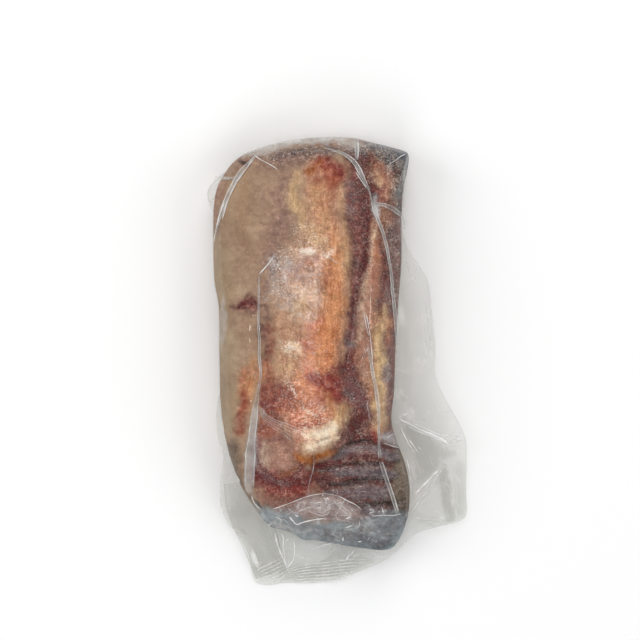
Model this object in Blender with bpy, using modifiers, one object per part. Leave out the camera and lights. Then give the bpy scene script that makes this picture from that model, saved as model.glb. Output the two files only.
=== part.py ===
"""A frozen beef tongue, underside up, shut in a clear vacuum bag: one solid with the bag's outer form.

The bag clings to the tongue, so the tongue's form shows through it: a flat underside to lie on, a crowned
top with a raised band, grooves between the muscles, a round lobe and the folds of the root. The film that
is left over stands off as a wide flap at the right and the root end, a folded tail and a small ear, and
it gathers in pleats on the tongue. Lengths below are millimetres; +Y points to the tongue's front end.
"""

import math

import bmesh
import bpy
import numpy as np

MM = 0.001
NAME = "vacuum_bag"

# Driving sizes
SEAM_HEIGHT = 24.0  # level where the tongue is widest
ROUNDING_TOP = 3.0  # power of the rounded shoulder: 2 is an ellipse, higher is boxier
ROUNDING_BASE = 4.5
BASE_FLAT_SHARE = 0.96  # the underside is flat from this share of the seam's height down
RELIEF_START = 0.77  # share of the shoulder's climb at which the relief has its full height
FLAP_THICKNESS = 1.2  # the two webs of film lying on each other, with what air is left between them
FLAP_SINK = 26.0  # how far out a flap has sunk from its root to its edge's level
FLAP_SLACK_START = 12.0  # how far out a flap's waves and creases have their full height
FLAP_CLEARANCE = 0.5  # the lowest a flap hangs above what the tongue lies on

CENTRE = (-17.0, 8.0)  # middle of the tongue, seen from above, that the outlines are swept round
TONGUE_EDGE = (
    (-79.7, 93), (-77.8, 109), (-73, 119), (-66, 128), (-54, 135), (-34, 140.5), (-12, 143.2), (8, 143),
    (26, 139), (41, 135), (45.6, 132), (45.4, 125), (42.6, 110), (41.3, 92), (41.2, 64), (39.2, 36), (37.4, 2),
    (36.6, -20), (34.8, -38), (39, -54), (44, -68), (46.4, -84), (45, -101), (39, -116), (31, -121.6),
    (14, -120.2), (-12, -115.8), (-22, -115), (-32, -109.6), (-44, -106), (-55, -92), (-64, -76), (-71, -54),
    (-75, -30), (-76, 4), (-76.4, 34), (-79.3, 54),
)  # fmt: skip

# The film beyond the tongue: the edge of each flap, from one end to the other
WIDE_FLAP_EDGE = (
    (39, 92), (45, 72), (53, 60), (58, 51), (60, 38), (61.5, 22), (63, 8), (63, -10), (70, -26), (77, -38),
    (82.4, -51), (83.2, -66), (83, -86), (83.5, -97), (80, -103), (66, -107), (50, -112), (39, -122),
    (30, -129), (14, -136), (-2, -141.5), (-14, -143.5), (-32, -143.7), (-52, -143.7), (-57, -126),
    (-63, -114), (-71, -104), (-75.3, -92), (-75.2, -77), (-73.2, -62), (-76.8, -48), (-77.3, -30), (-73, -12),
)  # fmt: skip
WIDE_FLAP_LEVELS = ((92, 22), (40, 12), (-20, 9), (-70, 5), (-105, 3), (-144, 1.6))  # edge's height by its Y
FLAP_ROOT_LEVELS = ((-128, 9), (-106, 14), (-70, 20), (130, 20))  # where a flap leaves the tongue, by Y
EAR_EDGE = ((-72, 121), (-79, 115), (-82.6, 110), (-83.4, 106), (-82, 100), (-77, 90))
EAR_LEVELS = ((90, 26), (121, 34))

# The tail: the bag's corner, folded over and lying on the wide flap
TAIL_ROUTE = ((-62, -78), (-59, -96), (-50, -116), (-43, -138))
TAIL_WIDTHS = (22, 24, 24, 20)
TAIL_RISE = 0.45  # how far the tail's middle layer lies above the wide flap's

# Creases in the wide flap: route, half width and height (a valley is negative)
FLAP_CREASES = {
    "corner_fold": (((43, -37), (56, -44), (70, -51), (82, -50)), 5.0, 4.0),
    "corner_hollow": (((50, -62), (62, -62), (76, -72)), 6.0, -2.5),
    "low_fold": (((46, -86), (55, -79), (66, -70)), 4.5, 3.0),
    "high_fold": (((42, 30), (50, 10), (58, -12), (64, -26)), 5.0, 1.8),
    "end_fold": (((-36, -108), (-34, -122), (-31, -136)), 4.5, 3.0),
    "end_hollow": (((-14, -114), (-4, -124), (8, -130)), 6.0, -2.0),
    "end_rib": (((2, -133), (18, -128), (34, -124)), 4.0, 2.0),
}

# Height of the tongue's crest from its front end to its root, before the relief, by Y
CREST_LEVELS = ((-124, 40), (-104, 45), (-80, 50), (-40, 54), (20, 56), (80, 54), (120, 51), (145, 47))

# Relief on the top: route, half width and height (a groove is negative)
RELIEF = {
    "underside_band": (((-8, 126), (-13, 100), (-15, 60), (-17, 20), (-17, -14), (-13, -46)), 25.0, 5.0),
    "dark_groove": (((20, 126), (19, 102), (14, 72), (11, 42), (9, 20), (5, -4), (9, -25), (13, -44)), 6.0, -5.0),
    "side_strip": (((24, 84), (23, 48), (25, 14), (26, -20), (28, -44)), 8.0, 3.5),
    "skin_valley": (((-48, 22), (-49, -8), (-52, -38), (-57, -66), (-60, -88)), 6.0, -4.0),
    "skin_nick": (((-66, 35), (-58, 38), (-51, 33)), 3.5, -2.0),
    "round_lobe": (((-35, -50), (-33, -60)), 15.0, 6.0),
    "lobe_arc": (((-53, -56), (-50, -74), (-34, -82), (-19, -74)), 4.5, -3.0),
    "fat_knob": (((-17, -45), (-4, -43)), 11.0, 3.5),
    "fold_edge": (((2, -59), (5, -52), (14, -51), (26, -53), (40, -57)), 3.0, -2.6),
    "fold_upper": (((-13, -66), (5, -64), (16, -64), (27, -65), (38, -66)), 3.0, -3.2),
    "fold_middle": (((-7, -80), (8, -80), (21, -78), (37, -78)), 3.2, -3.4),
    "fold_lower": (((13, -95), (24, -92), (30, -91), (40, -90)), 3.0, -3.2),
    "flat_pleat": (((-51, -28), (-54, -52), (-56.5, -80)), 4.0, 1.8),
    "root_edge": (((-44, -94), (-24, -88), (-5, -83), (10, -91)), 4.5, -2.6),
}
CRUMPLE_AREA = (-102.0, -90.0)  # Y below which the film over the root end is fully crumpled, and where it starts
CRUMPLE_HEIGHT = 1.5
CRUMPLE_WAVES = ((4.6, 7.5), (9.0, 4.2))  # lengths along X and Y of the two waves that cross, over 2 pi

# Pleats of gathered film that stand on the tongue
PLEAT_RADIUS = 1.3
PLEAT_SPACING = 5.0  # between the points that a pleat follows
PLEATS = {
    "front_left": ((-52, 131), (-60, 121), (-68, 106), (-74, 90), (-77, 76)),
    "left": ((-41, 65), (-50, 56), (-50.5, 30), (-50, 0), (-50, -24)),
    "front_right": ((-6, 133), (7, 127), (16, 115), (22, 100), (31, 74), (36, 45), (37, 20)),
    "right_link": ((22, 101), (32, 98), (40, 92)),
    "right_low": ((20, 6), (23.5, -16), (26, -38), (27.5, -61), (33, -82), (38, -99)),
}

BLOCK_CUTS = 55  # finer than the solid needs: Decimate then leaves triangles where the surface bends
BLOCK_TRIANGLES = 5600
RIM_STEPS = 3  # points along a flap's edge from one of its named points to the next
FLAP_STEPS = 8  # points from the tongue to a flap's edge
ROOT_SHARE = 0.9  # a flap starts inside the tongue, at this share of its outline
FLAP_LEAST_WIDTH = 4.0  # from where it starts inside the tongue to its edge


def clear_scene():
    for old in list(bpy.data.objects):
        bpy.data.objects.remove(old, do_unlink=True)


def smooth_line(points, closed, steps=8):
    """Points along a Catmull-Rom curve through points, as an array."""
    points = np.array(points, float)
    if closed:
        padded = np.vstack([points[-1:], points, points[:2]])
    else:
        ends = (2 * points[0] - points[1], 2 * points[-1] - points[-2])
        padded = np.vstack([ends[0], points, ends[1]])
    share = np.linspace(0, 1, steps, endpoint=False)[:, None]
    spans = []
    for before, start, end, after in zip(padded, padded[1:], padded[2:], padded[3:]):
        spans.append(
            0.5
            * (
                2 * start
                + (end - before) * share
                + (2 * before - 5 * start + 4 * end - after) * share**2
                + (3 * start - before - 3 * end + after) * share**3
            )
        )
    if not closed:
        spans.append(points[-1:])
    return np.vstack(spans)


def from_centre(places):
    """Angle and distance of places from the tongue's middle, seen from above."""
    away = np.asarray(places, float)[:, :2] - CENTRE
    return np.arctan2(away[:, 1], away[:, 0]), np.hypot(away[:, 0], away[:, 1])


EDGE_ANGLES, EDGE_RADII = from_centre(smooth_line(TONGUE_EDGE, closed=True))


def tongue_radius(angles):
    """How far the tongue's outline lies from its middle."""
    return np.interp(angles, EDGE_ANGLES, EDGE_RADII, period=2 * math.pi)


def smoothstep(share):
    share = np.clip(share, 0, 1)
    return share * share * (3 - 2 * share)


def levels(y, table):
    """A height read from a table of (Y, height)."""
    stations, heights = zip(*sorted(table))
    return np.interp(y, stations, heights)


def distance_to_route(places, route):
    """Distance of places from the nearest point of a smooth route."""
    line = smooth_line(route, closed=False, steps=6)
    nearest = np.full(len(places), np.inf)
    for start, end in zip(line, line[1:]):
        along = end - start
        share = np.clip((places - start) @ along / (along @ along), 0, 1)
        gap = np.linalg.norm(places - start - share[:, None] * along, axis=1)
        nearest = np.minimum(nearest, gap)
    return nearest


def raised_routes(places, routes):
    """Height of ridges and grooves with a bell-shaped section, from a table of (route, half width, height)."""
    total = np.zeros(len(places))
    for route, half_width, height in routes.values():
        total += height * np.exp(-((distance_to_route(places, route) / half_width) ** 2))
    return total


def crumple_relief(places):
    """The film's crumples over the root end, from two crossing waves."""
    x, y = places.T
    full, start = CRUMPLE_AREA
    inside = smoothstep((start - y) / (start - full))
    (along_x, along_y), (across_x, across_y) = CRUMPLE_WAVES
    waves = np.sin(x / along_x + y / along_y) * np.cos(y / across_y - x / across_x)
    return CRUMPLE_HEIGHT * inside * waves


def relief(places):
    """Height of the ridges, grooves, folds and lobes on the tongue's top."""
    return raised_routes(places, RELIEF) + crumple_relief(places)


def top_level(places, rise):
    """Level of the top, where rise is 0 at the seam and 1 on the flat of the crown."""
    crest = levels(places[:, 1], CREST_LEVELS)
    return SEAM_HEIGHT + rise * (crest - SEAM_HEIGHT) + smoothstep(rise / RELIEF_START) * relief(places)


def top_surface(places):
    """Level of the tongue's top at places seen from above."""
    places = np.asarray(places, float)
    angles, distances = from_centre(places)
    share = np.clip(distances / tongue_radius(angles), 0, 1)
    rise = (1 - share**ROUNDING_TOP) ** (1 / ROUNDING_TOP)
    return top_level(places, rise)


def block_points(directions):
    """Where directions from the middle of the tongue meet its surface: a rounded block on the plan outline."""
    flat = np.hypot(directions[:, 0], directions[:, 1])
    climb = directions[:, 2]
    power = np.where(climb > 0, ROUNDING_TOP, ROUNDING_BASE)
    reach = (flat**power + np.abs(climb) ** power) ** (-1 / power)
    angles = np.arctan2(directions[:, 1], directions[:, 0])
    share, rise = reach * flat, reach * climb
    radius = share * tongue_radius(angles)
    places = np.column_stack([np.cos(angles) * radius, np.sin(angles) * radius]) + CENTRE
    base = SEAM_HEIGHT * np.maximum(0, 1 + rise / BASE_FLAT_SHARE)
    return np.column_stack([places, np.where(climb > 0, top_level(places, rise), base)])


def coordinates(mesh):
    flat = np.empty(len(mesh.vertices) * 3)
    mesh.vertices.foreach_get("co", flat)
    return flat.reshape(-1, 3)


def add_object(name, mesh, collection):
    made = bpy.data.objects.new(name, mesh)
    collection.objects.link(made)
    return made


def evaluated_mesh(source, weld=0.0):
    """The object's mesh with its modifiers applied, and close points made one if weld is given."""
    graph = bpy.context.evaluated_depsgraph_get()
    mesh = bpy.data.meshes.new_from_object(source.evaluated_get(graph))
    mesh.transform(source.matrix_world)
    if weld:
        cleaner = bmesh.new()
        cleaner.from_mesh(mesh)
        bmesh.ops.remove_doubles(cleaner, verts=cleaner.verts, dist=weld)
        bmesh.ops.recalc_face_normals(cleaner, faces=cleaner.faces)
        cleaner.to_mesh(mesh)
        cleaner.free()
    return mesh


def applied(source, collection, weld=0.0):
    """A plain mesh object in place of source, with its modifiers applied."""
    name = source.name
    mesh = evaluated_mesh(source, weld)
    bpy.data.objects.remove(source)
    return add_object(name, mesh, collection)


def tongue_block(collection):
    """The tongue's own form: a finely cut cube pushed out to the rounded block, then thinned out."""
    cage = bmesh.new()
    bmesh.ops.create_cube(cage, size=2.0)
    bmesh.ops.subdivide_edges(cage, edges=cage.edges, cuts=BLOCK_CUTS, use_grid_fill=True)
    mesh = bpy.data.meshes.new("tongue_block")
    cage.to_mesh(mesh)
    cage.free()
    cube = coordinates(mesh)
    directions = cube / np.linalg.norm(cube, axis=1)[:, None]
    mesh.vertices.foreach_set("co", (block_points(directions) * MM).ravel())
    block = add_object("tongue_block", mesh, collection)
    thin_out = block.modifiers.new("Thin out", "DECIMATE")
    thin_out.ratio = BLOCK_TRIANGLES / (2 * len(mesh.polygons))
    block = applied(block, collection)
    for vertex in block.data.vertices:
        if vertex.co.z < 0.1 * MM:
            vertex.co.z = 0.0
    return block


def sheet_from_grid(name, grid, collection):
    """A sheet of film through a grid of points (rows, columns, 3), given its thickness by Solidify."""
    rows, columns = grid.shape[:2]
    sheet = bmesh.new()
    points = [[sheet.verts.new(place * MM) for place in row] for row in grid]
    for row in range(rows - 1):
        for column in range(columns - 1):
            corners = (
                points[row][column],
                points[row][column + 1],
                points[row + 1][column + 1],
                points[row + 1][column],
            )
            sheet.faces.new(corners)
    bmesh.ops.recalc_face_normals(sheet, faces=sheet.faces)
    mesh = bpy.data.meshes.new(name)
    sheet.to_mesh(mesh)
    sheet.free()
    made = add_object(name, mesh, collection)
    wall = made.modifiers.new("Wall", "SOLIDIFY")
    wall.thickness = FLAP_THICKNESS * MM
    wall.offset = 0.0
    wall.use_even_offset = False
    return applied(made, collection)


def ripple(places):
    """The slack film's low waves."""
    x, y = places.T
    return 1.0 * np.sin(x / 7.0 + y / 13.0) + 0.7 * np.sin(y / 9.0 - x / 17.0)


def flap_level(places, edge_levels):
    """Level of a flap that leaves the tongue at the seam and sinks towards its edge."""
    angles, distances = from_centre(places)
    out = distances - tongue_radius(angles)
    sink = smoothstep(out / FLAP_SINK)
    edge = levels(places[:, 1], edge_levels)
    root = levels(places[:, 1], FLAP_ROOT_LEVELS)
    slack = smoothstep(out / FLAP_SLACK_START) * (ripple(places) + raised_routes(places, FLAP_CREASES))
    return np.maximum(root + (edge - root) * sink + slack, FLAP_CLEARANCE + FLAP_THICKNESS / 2)


def flap(name, edge, edge_levels, collection):
    """Film that stands off the tongue, from inside it out to the edge given."""
    rim = smooth_line(edge, closed=False, steps=RIM_STEPS)
    angles, reach = from_centre(rim)
    inside = tongue_radius(angles) * ROOT_SHARE
    inside = np.minimum(inside, reach - FLAP_LEAST_WIDTH)
    out = np.linspace(0, 1, FLAP_STEPS)[None, :]
    radius = inside[:, None] + (reach - inside)[:, None] * out
    x = CENTRE[0] + np.cos(angles)[:, None] * radius
    y = CENTRE[1] + np.sin(angles)[:, None] * radius
    places = np.column_stack([x.ravel(), y.ravel()])
    z = flap_level(places, edge_levels)
    return sheet_from_grid(name, np.column_stack([places, z]).reshape(*x.shape, 3), collection)


def tail(collection):
    """The bag's corner, folded over and lying on the wide flap."""
    line = smooth_line(TAIL_ROUTE, closed=False, steps=4)
    widths = np.interp(
        np.linspace(0, 1, len(line)), np.linspace(0, 1, len(TAIL_WIDTHS)), TAIL_WIDTHS
    )
    along = np.gradient(line, axis=0)
    along /= np.linalg.norm(along, axis=1)[:, None]
    across = np.column_stack([-along[:, 1], along[:, 0]])
    shares = np.linspace(-0.5, 0.5, 5)
    grid = line[:, None, :] + across[:, None, :] * (widths[:, None] * shares)[:, :, None]
    places = grid.reshape(-1, 2)
    z = flap_level(places, WIDE_FLAP_LEVELS) + TAIL_RISE
    return sheet_from_grid("tail", np.column_stack([places, z]).reshape(*grid.shape[:2], 3), collection)


def pleat(name, route, collection):
    """A pleat: film gathered in a round ridge, half sunk in the surface."""
    line = smooth_line(route, closed=False)
    lengths = np.concatenate([[0], np.cumsum(np.linalg.norm(np.diff(line, axis=0), axis=1))])
    stops = np.linspace(0, lengths[-1], max(3, round(lengths[-1] / PLEAT_SPACING)))
    line = np.column_stack([np.interp(stops, lengths, line[:, axis]) for axis in (0, 1)])
    z = top_surface(line)
    curve = bpy.data.curves.new(name, "CURVE")
    curve.dimensions = "3D"
    curve.bevel_depth = PLEAT_RADIUS * MM
    curve.bevel_resolution = 1
    curve.use_fill_caps = True
    spline = curve.splines.new("POLY")
    spline.points.add(len(line) - 1)
    for point, place, level in zip(spline.points, line, z):
        point.co = (*(place * MM), level * MM, 1.0)
    made = bpy.data.objects.new(name, curve)
    collection.objects.link(made)
    bpy.context.view_layer.update()
    return applied(made, collection, weld=0.00001)


def film_material():
    """Clear film over dark meat, as one colour."""
    material = bpy.data.materials.new("film_over_meat")
    material.use_nodes = True
    shader = material.node_tree.nodes["Principled BSDF"]
    shader.inputs["Base Color"].default_value = (0.33, 0.16, 0.11, 1.0)
    shader.inputs["Roughness"].default_value = 0.25
    shader.inputs["Metallic"].default_value = 0.0
    return material


def centre_on_origin(mesh):
    """Puts the middle of the solid's box over the origin, with its underside at level 0."""
    points = coordinates(mesh)
    middle = (points.min(0) + points.max(0)) / 2
    points -= (middle[0], middle[1], points[:, 2].min())
    mesh.vertices.foreach_set("co", points.ravel())


def build():
    clear_scene()
    model = bpy.data.collections.new("beef_tongue")
    bpy.context.scene.collection.children.link(model)
    loose = bpy.data.collections.new("film_to_join")
    bpy.context.scene.collection.children.link(loose)
    flap("wide_flap", WIDE_FLAP_EDGE, WIDE_FLAP_LEVELS, loose)
    flap("ear", EAR_EDGE, EAR_LEVELS, loose)
    tail(loose)
    for name, route in PLEATS.items():
        pleat(name, route, loose)
    block = tongue_block(model)
    join = block.modifiers.new("Join film", "BOOLEAN")
    join.operation = "UNION"
    join.operand_type = "COLLECTION"
    join.collection = loose
    join.solver = "EXACT"
    block.name = NAME
    bag = applied(block, model)
    for used in list(loose.objects):
        bpy.data.objects.remove(used)
    bpy.data.collections.remove(loose)
    centre_on_origin(bag.data)
    bag.data.materials.clear()
    bag.data.materials.append(film_material())
    bag.data.shade_smooth()
    bag.data.set_sharp_from_angle(angle=math.radians(50))


build()
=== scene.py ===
"""A frozen beef tongue, underside up, in a clear vacuum bag: the meat, the tight film and the loose film.

Lengths are millimetres on the tongue, as in the part, and become metres where a mesh is made.
+Y points to the tongue's front end, +X to the wide flap and +Z up.
"""

import math

import bmesh
import bpy
import numpy as np
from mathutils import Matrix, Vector


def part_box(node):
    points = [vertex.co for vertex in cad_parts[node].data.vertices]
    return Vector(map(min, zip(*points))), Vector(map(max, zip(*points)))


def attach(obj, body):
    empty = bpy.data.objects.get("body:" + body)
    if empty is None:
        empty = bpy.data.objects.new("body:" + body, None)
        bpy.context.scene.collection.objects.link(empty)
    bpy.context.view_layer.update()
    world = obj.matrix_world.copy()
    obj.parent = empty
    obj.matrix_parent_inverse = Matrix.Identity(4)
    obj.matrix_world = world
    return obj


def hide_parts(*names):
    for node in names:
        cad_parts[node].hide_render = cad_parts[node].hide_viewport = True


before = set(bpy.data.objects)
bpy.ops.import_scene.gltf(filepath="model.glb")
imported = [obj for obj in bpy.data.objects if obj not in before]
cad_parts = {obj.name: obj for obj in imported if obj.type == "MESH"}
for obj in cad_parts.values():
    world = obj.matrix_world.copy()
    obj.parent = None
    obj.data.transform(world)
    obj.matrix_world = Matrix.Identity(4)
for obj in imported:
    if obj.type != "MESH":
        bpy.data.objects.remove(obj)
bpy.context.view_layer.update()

MM = 0.001
BODY = "root"
NODE = "vacuum_bag"

# ---------------------------------------------------------------- the part's own sizes, repeated
SEAM_HEIGHT = 24.0  # level where the tongue is widest
ROUNDING_TOP = 3.0  # power of the rounded shoulder
ROUNDING_BASE = 4.5
BASE_FLAT_SHARE = 0.96
RELIEF_START = 0.77
FLAP_THICKNESS = 1.2
FLAP_SINK = 26.0
FLAP_SLACK_START = 12.0
FLAP_CLEARANCE = 0.5
CENTRE = (-17.0, 8.0)
TONGUE_EDGE = (
    (-79.7, 93), (-77.8, 109), (-73, 119), (-66, 128), (-54, 135), (-34, 140.5), (-12, 143.2), (8, 143),
    (26, 139), (41, 135), (45.6, 132), (45.4, 125), (42.6, 110), (41.3, 92), (41.2, 64), (39.2, 36),
    (37.4, 2), (36.6, -20), (34.8, -38), (39, -54), (44, -68), (46.4, -84), (45, -101), (39, -116),
    (31, -121.6), (14, -120.2), (-12, -115.8), (-22, -115), (-32, -109.6), (-44, -106), (-55, -92),
    (-64, -76), (-71, -54), (-75, -30), (-76, 4), (-76.4, 34), (-79.3, 54),
)  # fmt: skip
WIDE_FLAP_EDGE = (
    (39, 92), (45, 72), (53, 60), (58, 51), (60, 38), (61.5, 22), (63, 8), (63, -10), (70, -26),
    (77, -38), (82.4, -51), (83.2, -66), (83, -86), (83.5, -97), (80, -103), (66, -107), (50, -112),
    (39, -122), (30, -129), (14, -136), (-2, -141.5), (-14, -143.5), (-32, -143.7), (-52, -143.7),
    (-57, -126), (-63, -114), (-71, -104), (-75.3, -92), (-75.2, -77), (-73.2, -62), (-76.8, -48),
    (-77.3, -30), (-73, -12),
)  # fmt: skip
WIDE_FLAP_LEVELS = ((92, 22), (40, 12), (-20, 9), (-70, 5), (-105, 3), (-144, 1.6))
FLAP_ROOT_LEVELS = ((-128, 9), (-106, 14), (-70, 20), (130, 20))
EAR_EDGE = ((-72, 121), (-79, 115), (-82.6, 110), (-83.4, 106), (-82, 100), (-77, 90))
EAR_LEVELS = ((90, 26), (121, 34))
TAIL_ROUTE = ((-62, -78), (-59, -96), (-50, -116), (-43, -138))
TAIL_WIDTHS = (22, 24, 24, 20)
TAIL_RISE = 0.45
FLAP_CREASES = {
    "corner_fold": (((43, -37), (56, -44), (70, -51), (82, -50)), 5.0, 4.0),
    "corner_hollow": (((50, -62), (62, -62), (76, -72)), 6.0, -2.5),
    "low_fold": (((46, -86), (55, -79), (66, -70)), 4.5, 3.0),
    "high_fold": (((42, 30), (50, 10), (58, -12), (64, -26)), 5.0, 1.8),
    "end_fold": (((-36, -108), (-34, -122), (-31, -136)), 4.5, 3.0),
    "end_hollow": (((-14, -114), (-4, -124), (8, -130)), 6.0, -2.0),
    "end_rib": (((2, -133), (18, -128), (34, -124)), 4.0, 2.0),
}
CREST_LEVELS = ((-124, 40), (-104, 45), (-80, 50), (-40, 54), (20, 56), (80, 54), (120, 51), (145, 47))
RELIEF = {
    "underside_band": (((-8, 126), (-13, 100), (-15, 60), (-17, 20), (-17, -14), (-13, -46)), 25.0, 5.0),
    "dark_groove": (
        ((20, 126), (19, 102), (14, 72), (11, 42), (9, 20), (5, -4), (9, -25), (13, -44)),
        6.0, -5.0,
    ),
    "side_strip": (((24, 84), (23, 48), (25, 14), (26, -20), (28, -44)), 8.0, 3.5),
    "skin_valley": (((-48, 22), (-49, -8), (-52, -38), (-57, -66), (-60, -88)), 6.0, -4.0),
    "skin_nick": (((-66, 35), (-58, 38), (-51, 33)), 3.5, -2.0),
    "round_lobe": (((-35, -50), (-33, -60)), 15.0, 6.0),
    "lobe_arc": (((-53, -56), (-50, -74), (-34, -82), (-19, -74)), 4.5, -3.0),
    "fat_knob": (((-17, -45), (-4, -43)), 11.0, 3.5),
    "fold_edge": (((2, -59), (5, -52), (14, -51), (26, -53), (40, -57)), 3.0, -2.6),
    "fold_upper": (((-13, -66), (5, -64), (16, -64), (27, -65), (38, -66)), 3.0, -3.2),
    "fold_middle": (((-7, -80), (8, -80), (21, -78), (37, -78)), 3.2, -3.4),
    "fold_lower": (((13, -95), (24, -92), (30, -91), (40, -90)), 3.0, -3.2),
    "flat_pleat": (((-51, -28), (-54, -52), (-56.5, -80)), 4.0, 1.8),
    "root_edge": (((-44, -94), (-24, -88), (-5, -83), (10, -91)), 4.5, -2.6),
}
CRUMPLE_AREA = (-102.0, -90.0)
CRUMPLE_HEIGHT = 1.5
CRUMPLE_WAVES = ((4.6, 7.5), (9.0, 4.2))

# ---------------------------------------------------------------- finer sizes that only the looks need
FILM_GAP = 0.5  # from the film down to the meat
TOP_RINGS = 118  # rings of the tongue's mesh from the middle of its top to the seam
BASE_RINGS = 40
SPOKES = 600
WRAP_SHARE = 0.8  # the film's mesh has this share of the meat's rings and spokes
FLANK_SKIN = 5.0  # from here down at the latest the flanks are plain skin
FLANK_NOISE = 14.0  # size of the noise that makes the skin's upper edge uneven
FLANK_FADE = 14.0  # height over which the other tissues come in above that edge
END_DROP = 3.0  # how far the meat at the root end lies below the film that bridges it
END_DROP_FROM = (-84.0, -98.0)  # Y where that starts and where it is full
CUT_END = (-92.0, -104.0)  # Y where the flanks' skin starts to give way to the cut end, and where it has
CUT_END_FOOT = 4.0  # height above the table over which the cut end's tissues come in
PAPILLAE_HEIGHTS = (6.0, 22.0)  # heights where the papillae start to fade and where they are gone
FINE_STEPS = 2000  # points on a curve that is only measured
TYPICAL_RADIUS = 100.0  # the radius and the rise above the seam for which a skin's rings are evenly spaced
TYPICAL_CROWN = 32.0

# ---------------------------------------------------------------- noise on the shapes
NOISE_CELLS = 64  # the noise repeats after this many blobs
STRAYS = ((9.0, 1.3), (3.0, 0.7))  # size of each noise that moves places, and its share of their reach
CREASE_STRAY = 0.6  # how far a crease wanders, as a share of its size
FINE_START = 0.5  # rise at which lumps, fibres and wrinkles have their full height
MEAT_SINK = 0.15  # how far the meat lies below the film's gap, so that lumps stay inside it
MEAT_LUMPS = ((9.0, 0.5, 3), (4.0, 0.3, 4))  # size, height and seed, here and in the next rows
MEAT_FIBRES = (2.8, 0.35, 5)
END_WRINKLES = ((8.0, 1.1, 11), (3.6, 0.5, 21))
FLAP_WRINKLES = ((14.0, 0.8, 31), (5.0, 0.35, 41))
TIGHT_WRINKLES = (7.0, 0.12, 61)
FIBRE_STRETCH = (1, 0.16)  # fibres are drawn out along Y
WRINKLE_FOOT = 0.6  # what is taken off the creases, so that wrinkles rise above the level and sink below it
TIGHT_SINK = 1.8  # the same for the tight film, which only sinks
WRINKLED_END = (-86.0, -94.0)  # Y where the root end's wrinkles start and where they are full
RIPPLES = ((1.0, 7.0, 13.0), (0.7, -17.0, 9.0))  # height of a wave, and its lengths along X and Y

# ---------------------------------------------------------------- colours, as red, green, blue from 0 to 255
SKIN = ((170, 143, 117), (152, 125, 103))
SKIN_BLOTCH = (140, 113, 95)
SKIN_ROUGHNESS = 0.2  # how strong pores and light grains are on bare skin
# white of frost glitter, also used for glints painted into the meat as painted highlights
FROST_AND_GLINT_WHITE = (248, 236, 224)
DARK_PORES = (54, 28, 24)
# pale grain, partly painted small highlights
PALE_GRAINS_AND_HIGHLIGHTS = (240, 214, 194)
GRAIN_HIGHLIGHT_SHARE = 0.2  # how much the pale grains, partly painted highlights, show at most
PALE_PAPILLAE = (190, 170, 150)
ICE_WORMS = (188, 170, 160)  # pale threads of ice between dark cells
ICE = ((250, 240, 230), (236, 206, 186))
SKIN_BLOTCH_SHARE = 0.4  # how much the skin's blotches show at most
THREAD_CELL = 1.7  # size of the cells between the threads of ice
THREAD_SHARE = 0.55  # how much the threads of ice show at most
CORE_SHARE = 0.45  # the same for the dark middles of the cells
GLINT_GAIN = 0.26  # added to the noise where frost glitters and glints are painted, so that more of it turns white
GLINT_SHARE = 0.62  # how much the glitter and the painted glints show at most
PAPILLA_SPACING = 1.9  # of the underside's small pale papillae
GRAINS = ((0.6, 0.36), (1.6, 0.28), (5.5, 0.18))  # size, and the share of brightness gained or lost
DOWNWARD = (1, 1, 0.4)  # grain drawn out along Z, so that it also shows on the flanks from above
MEAT_NOISES = {
    # name: size in millimetres, stretch, detail, roughness and distortion
    "speckle": (0.55, DOWNWARD, 2.0),
    "blotch": (2.4, DOWNWARD, 4.0),
    "patch": (12.0, (1, 1, 1), 3.0),
    "mottle": (1.2, DOWNWARD, 5.0, 0.75),
    "fibre": (1.2, (1, 0.18, 0.4), 4.0, 0.7, 1.0),
    "cross": (1.1, (0.3, 1, 0.4), 5.0, 0.75, 0.6),
}
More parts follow.
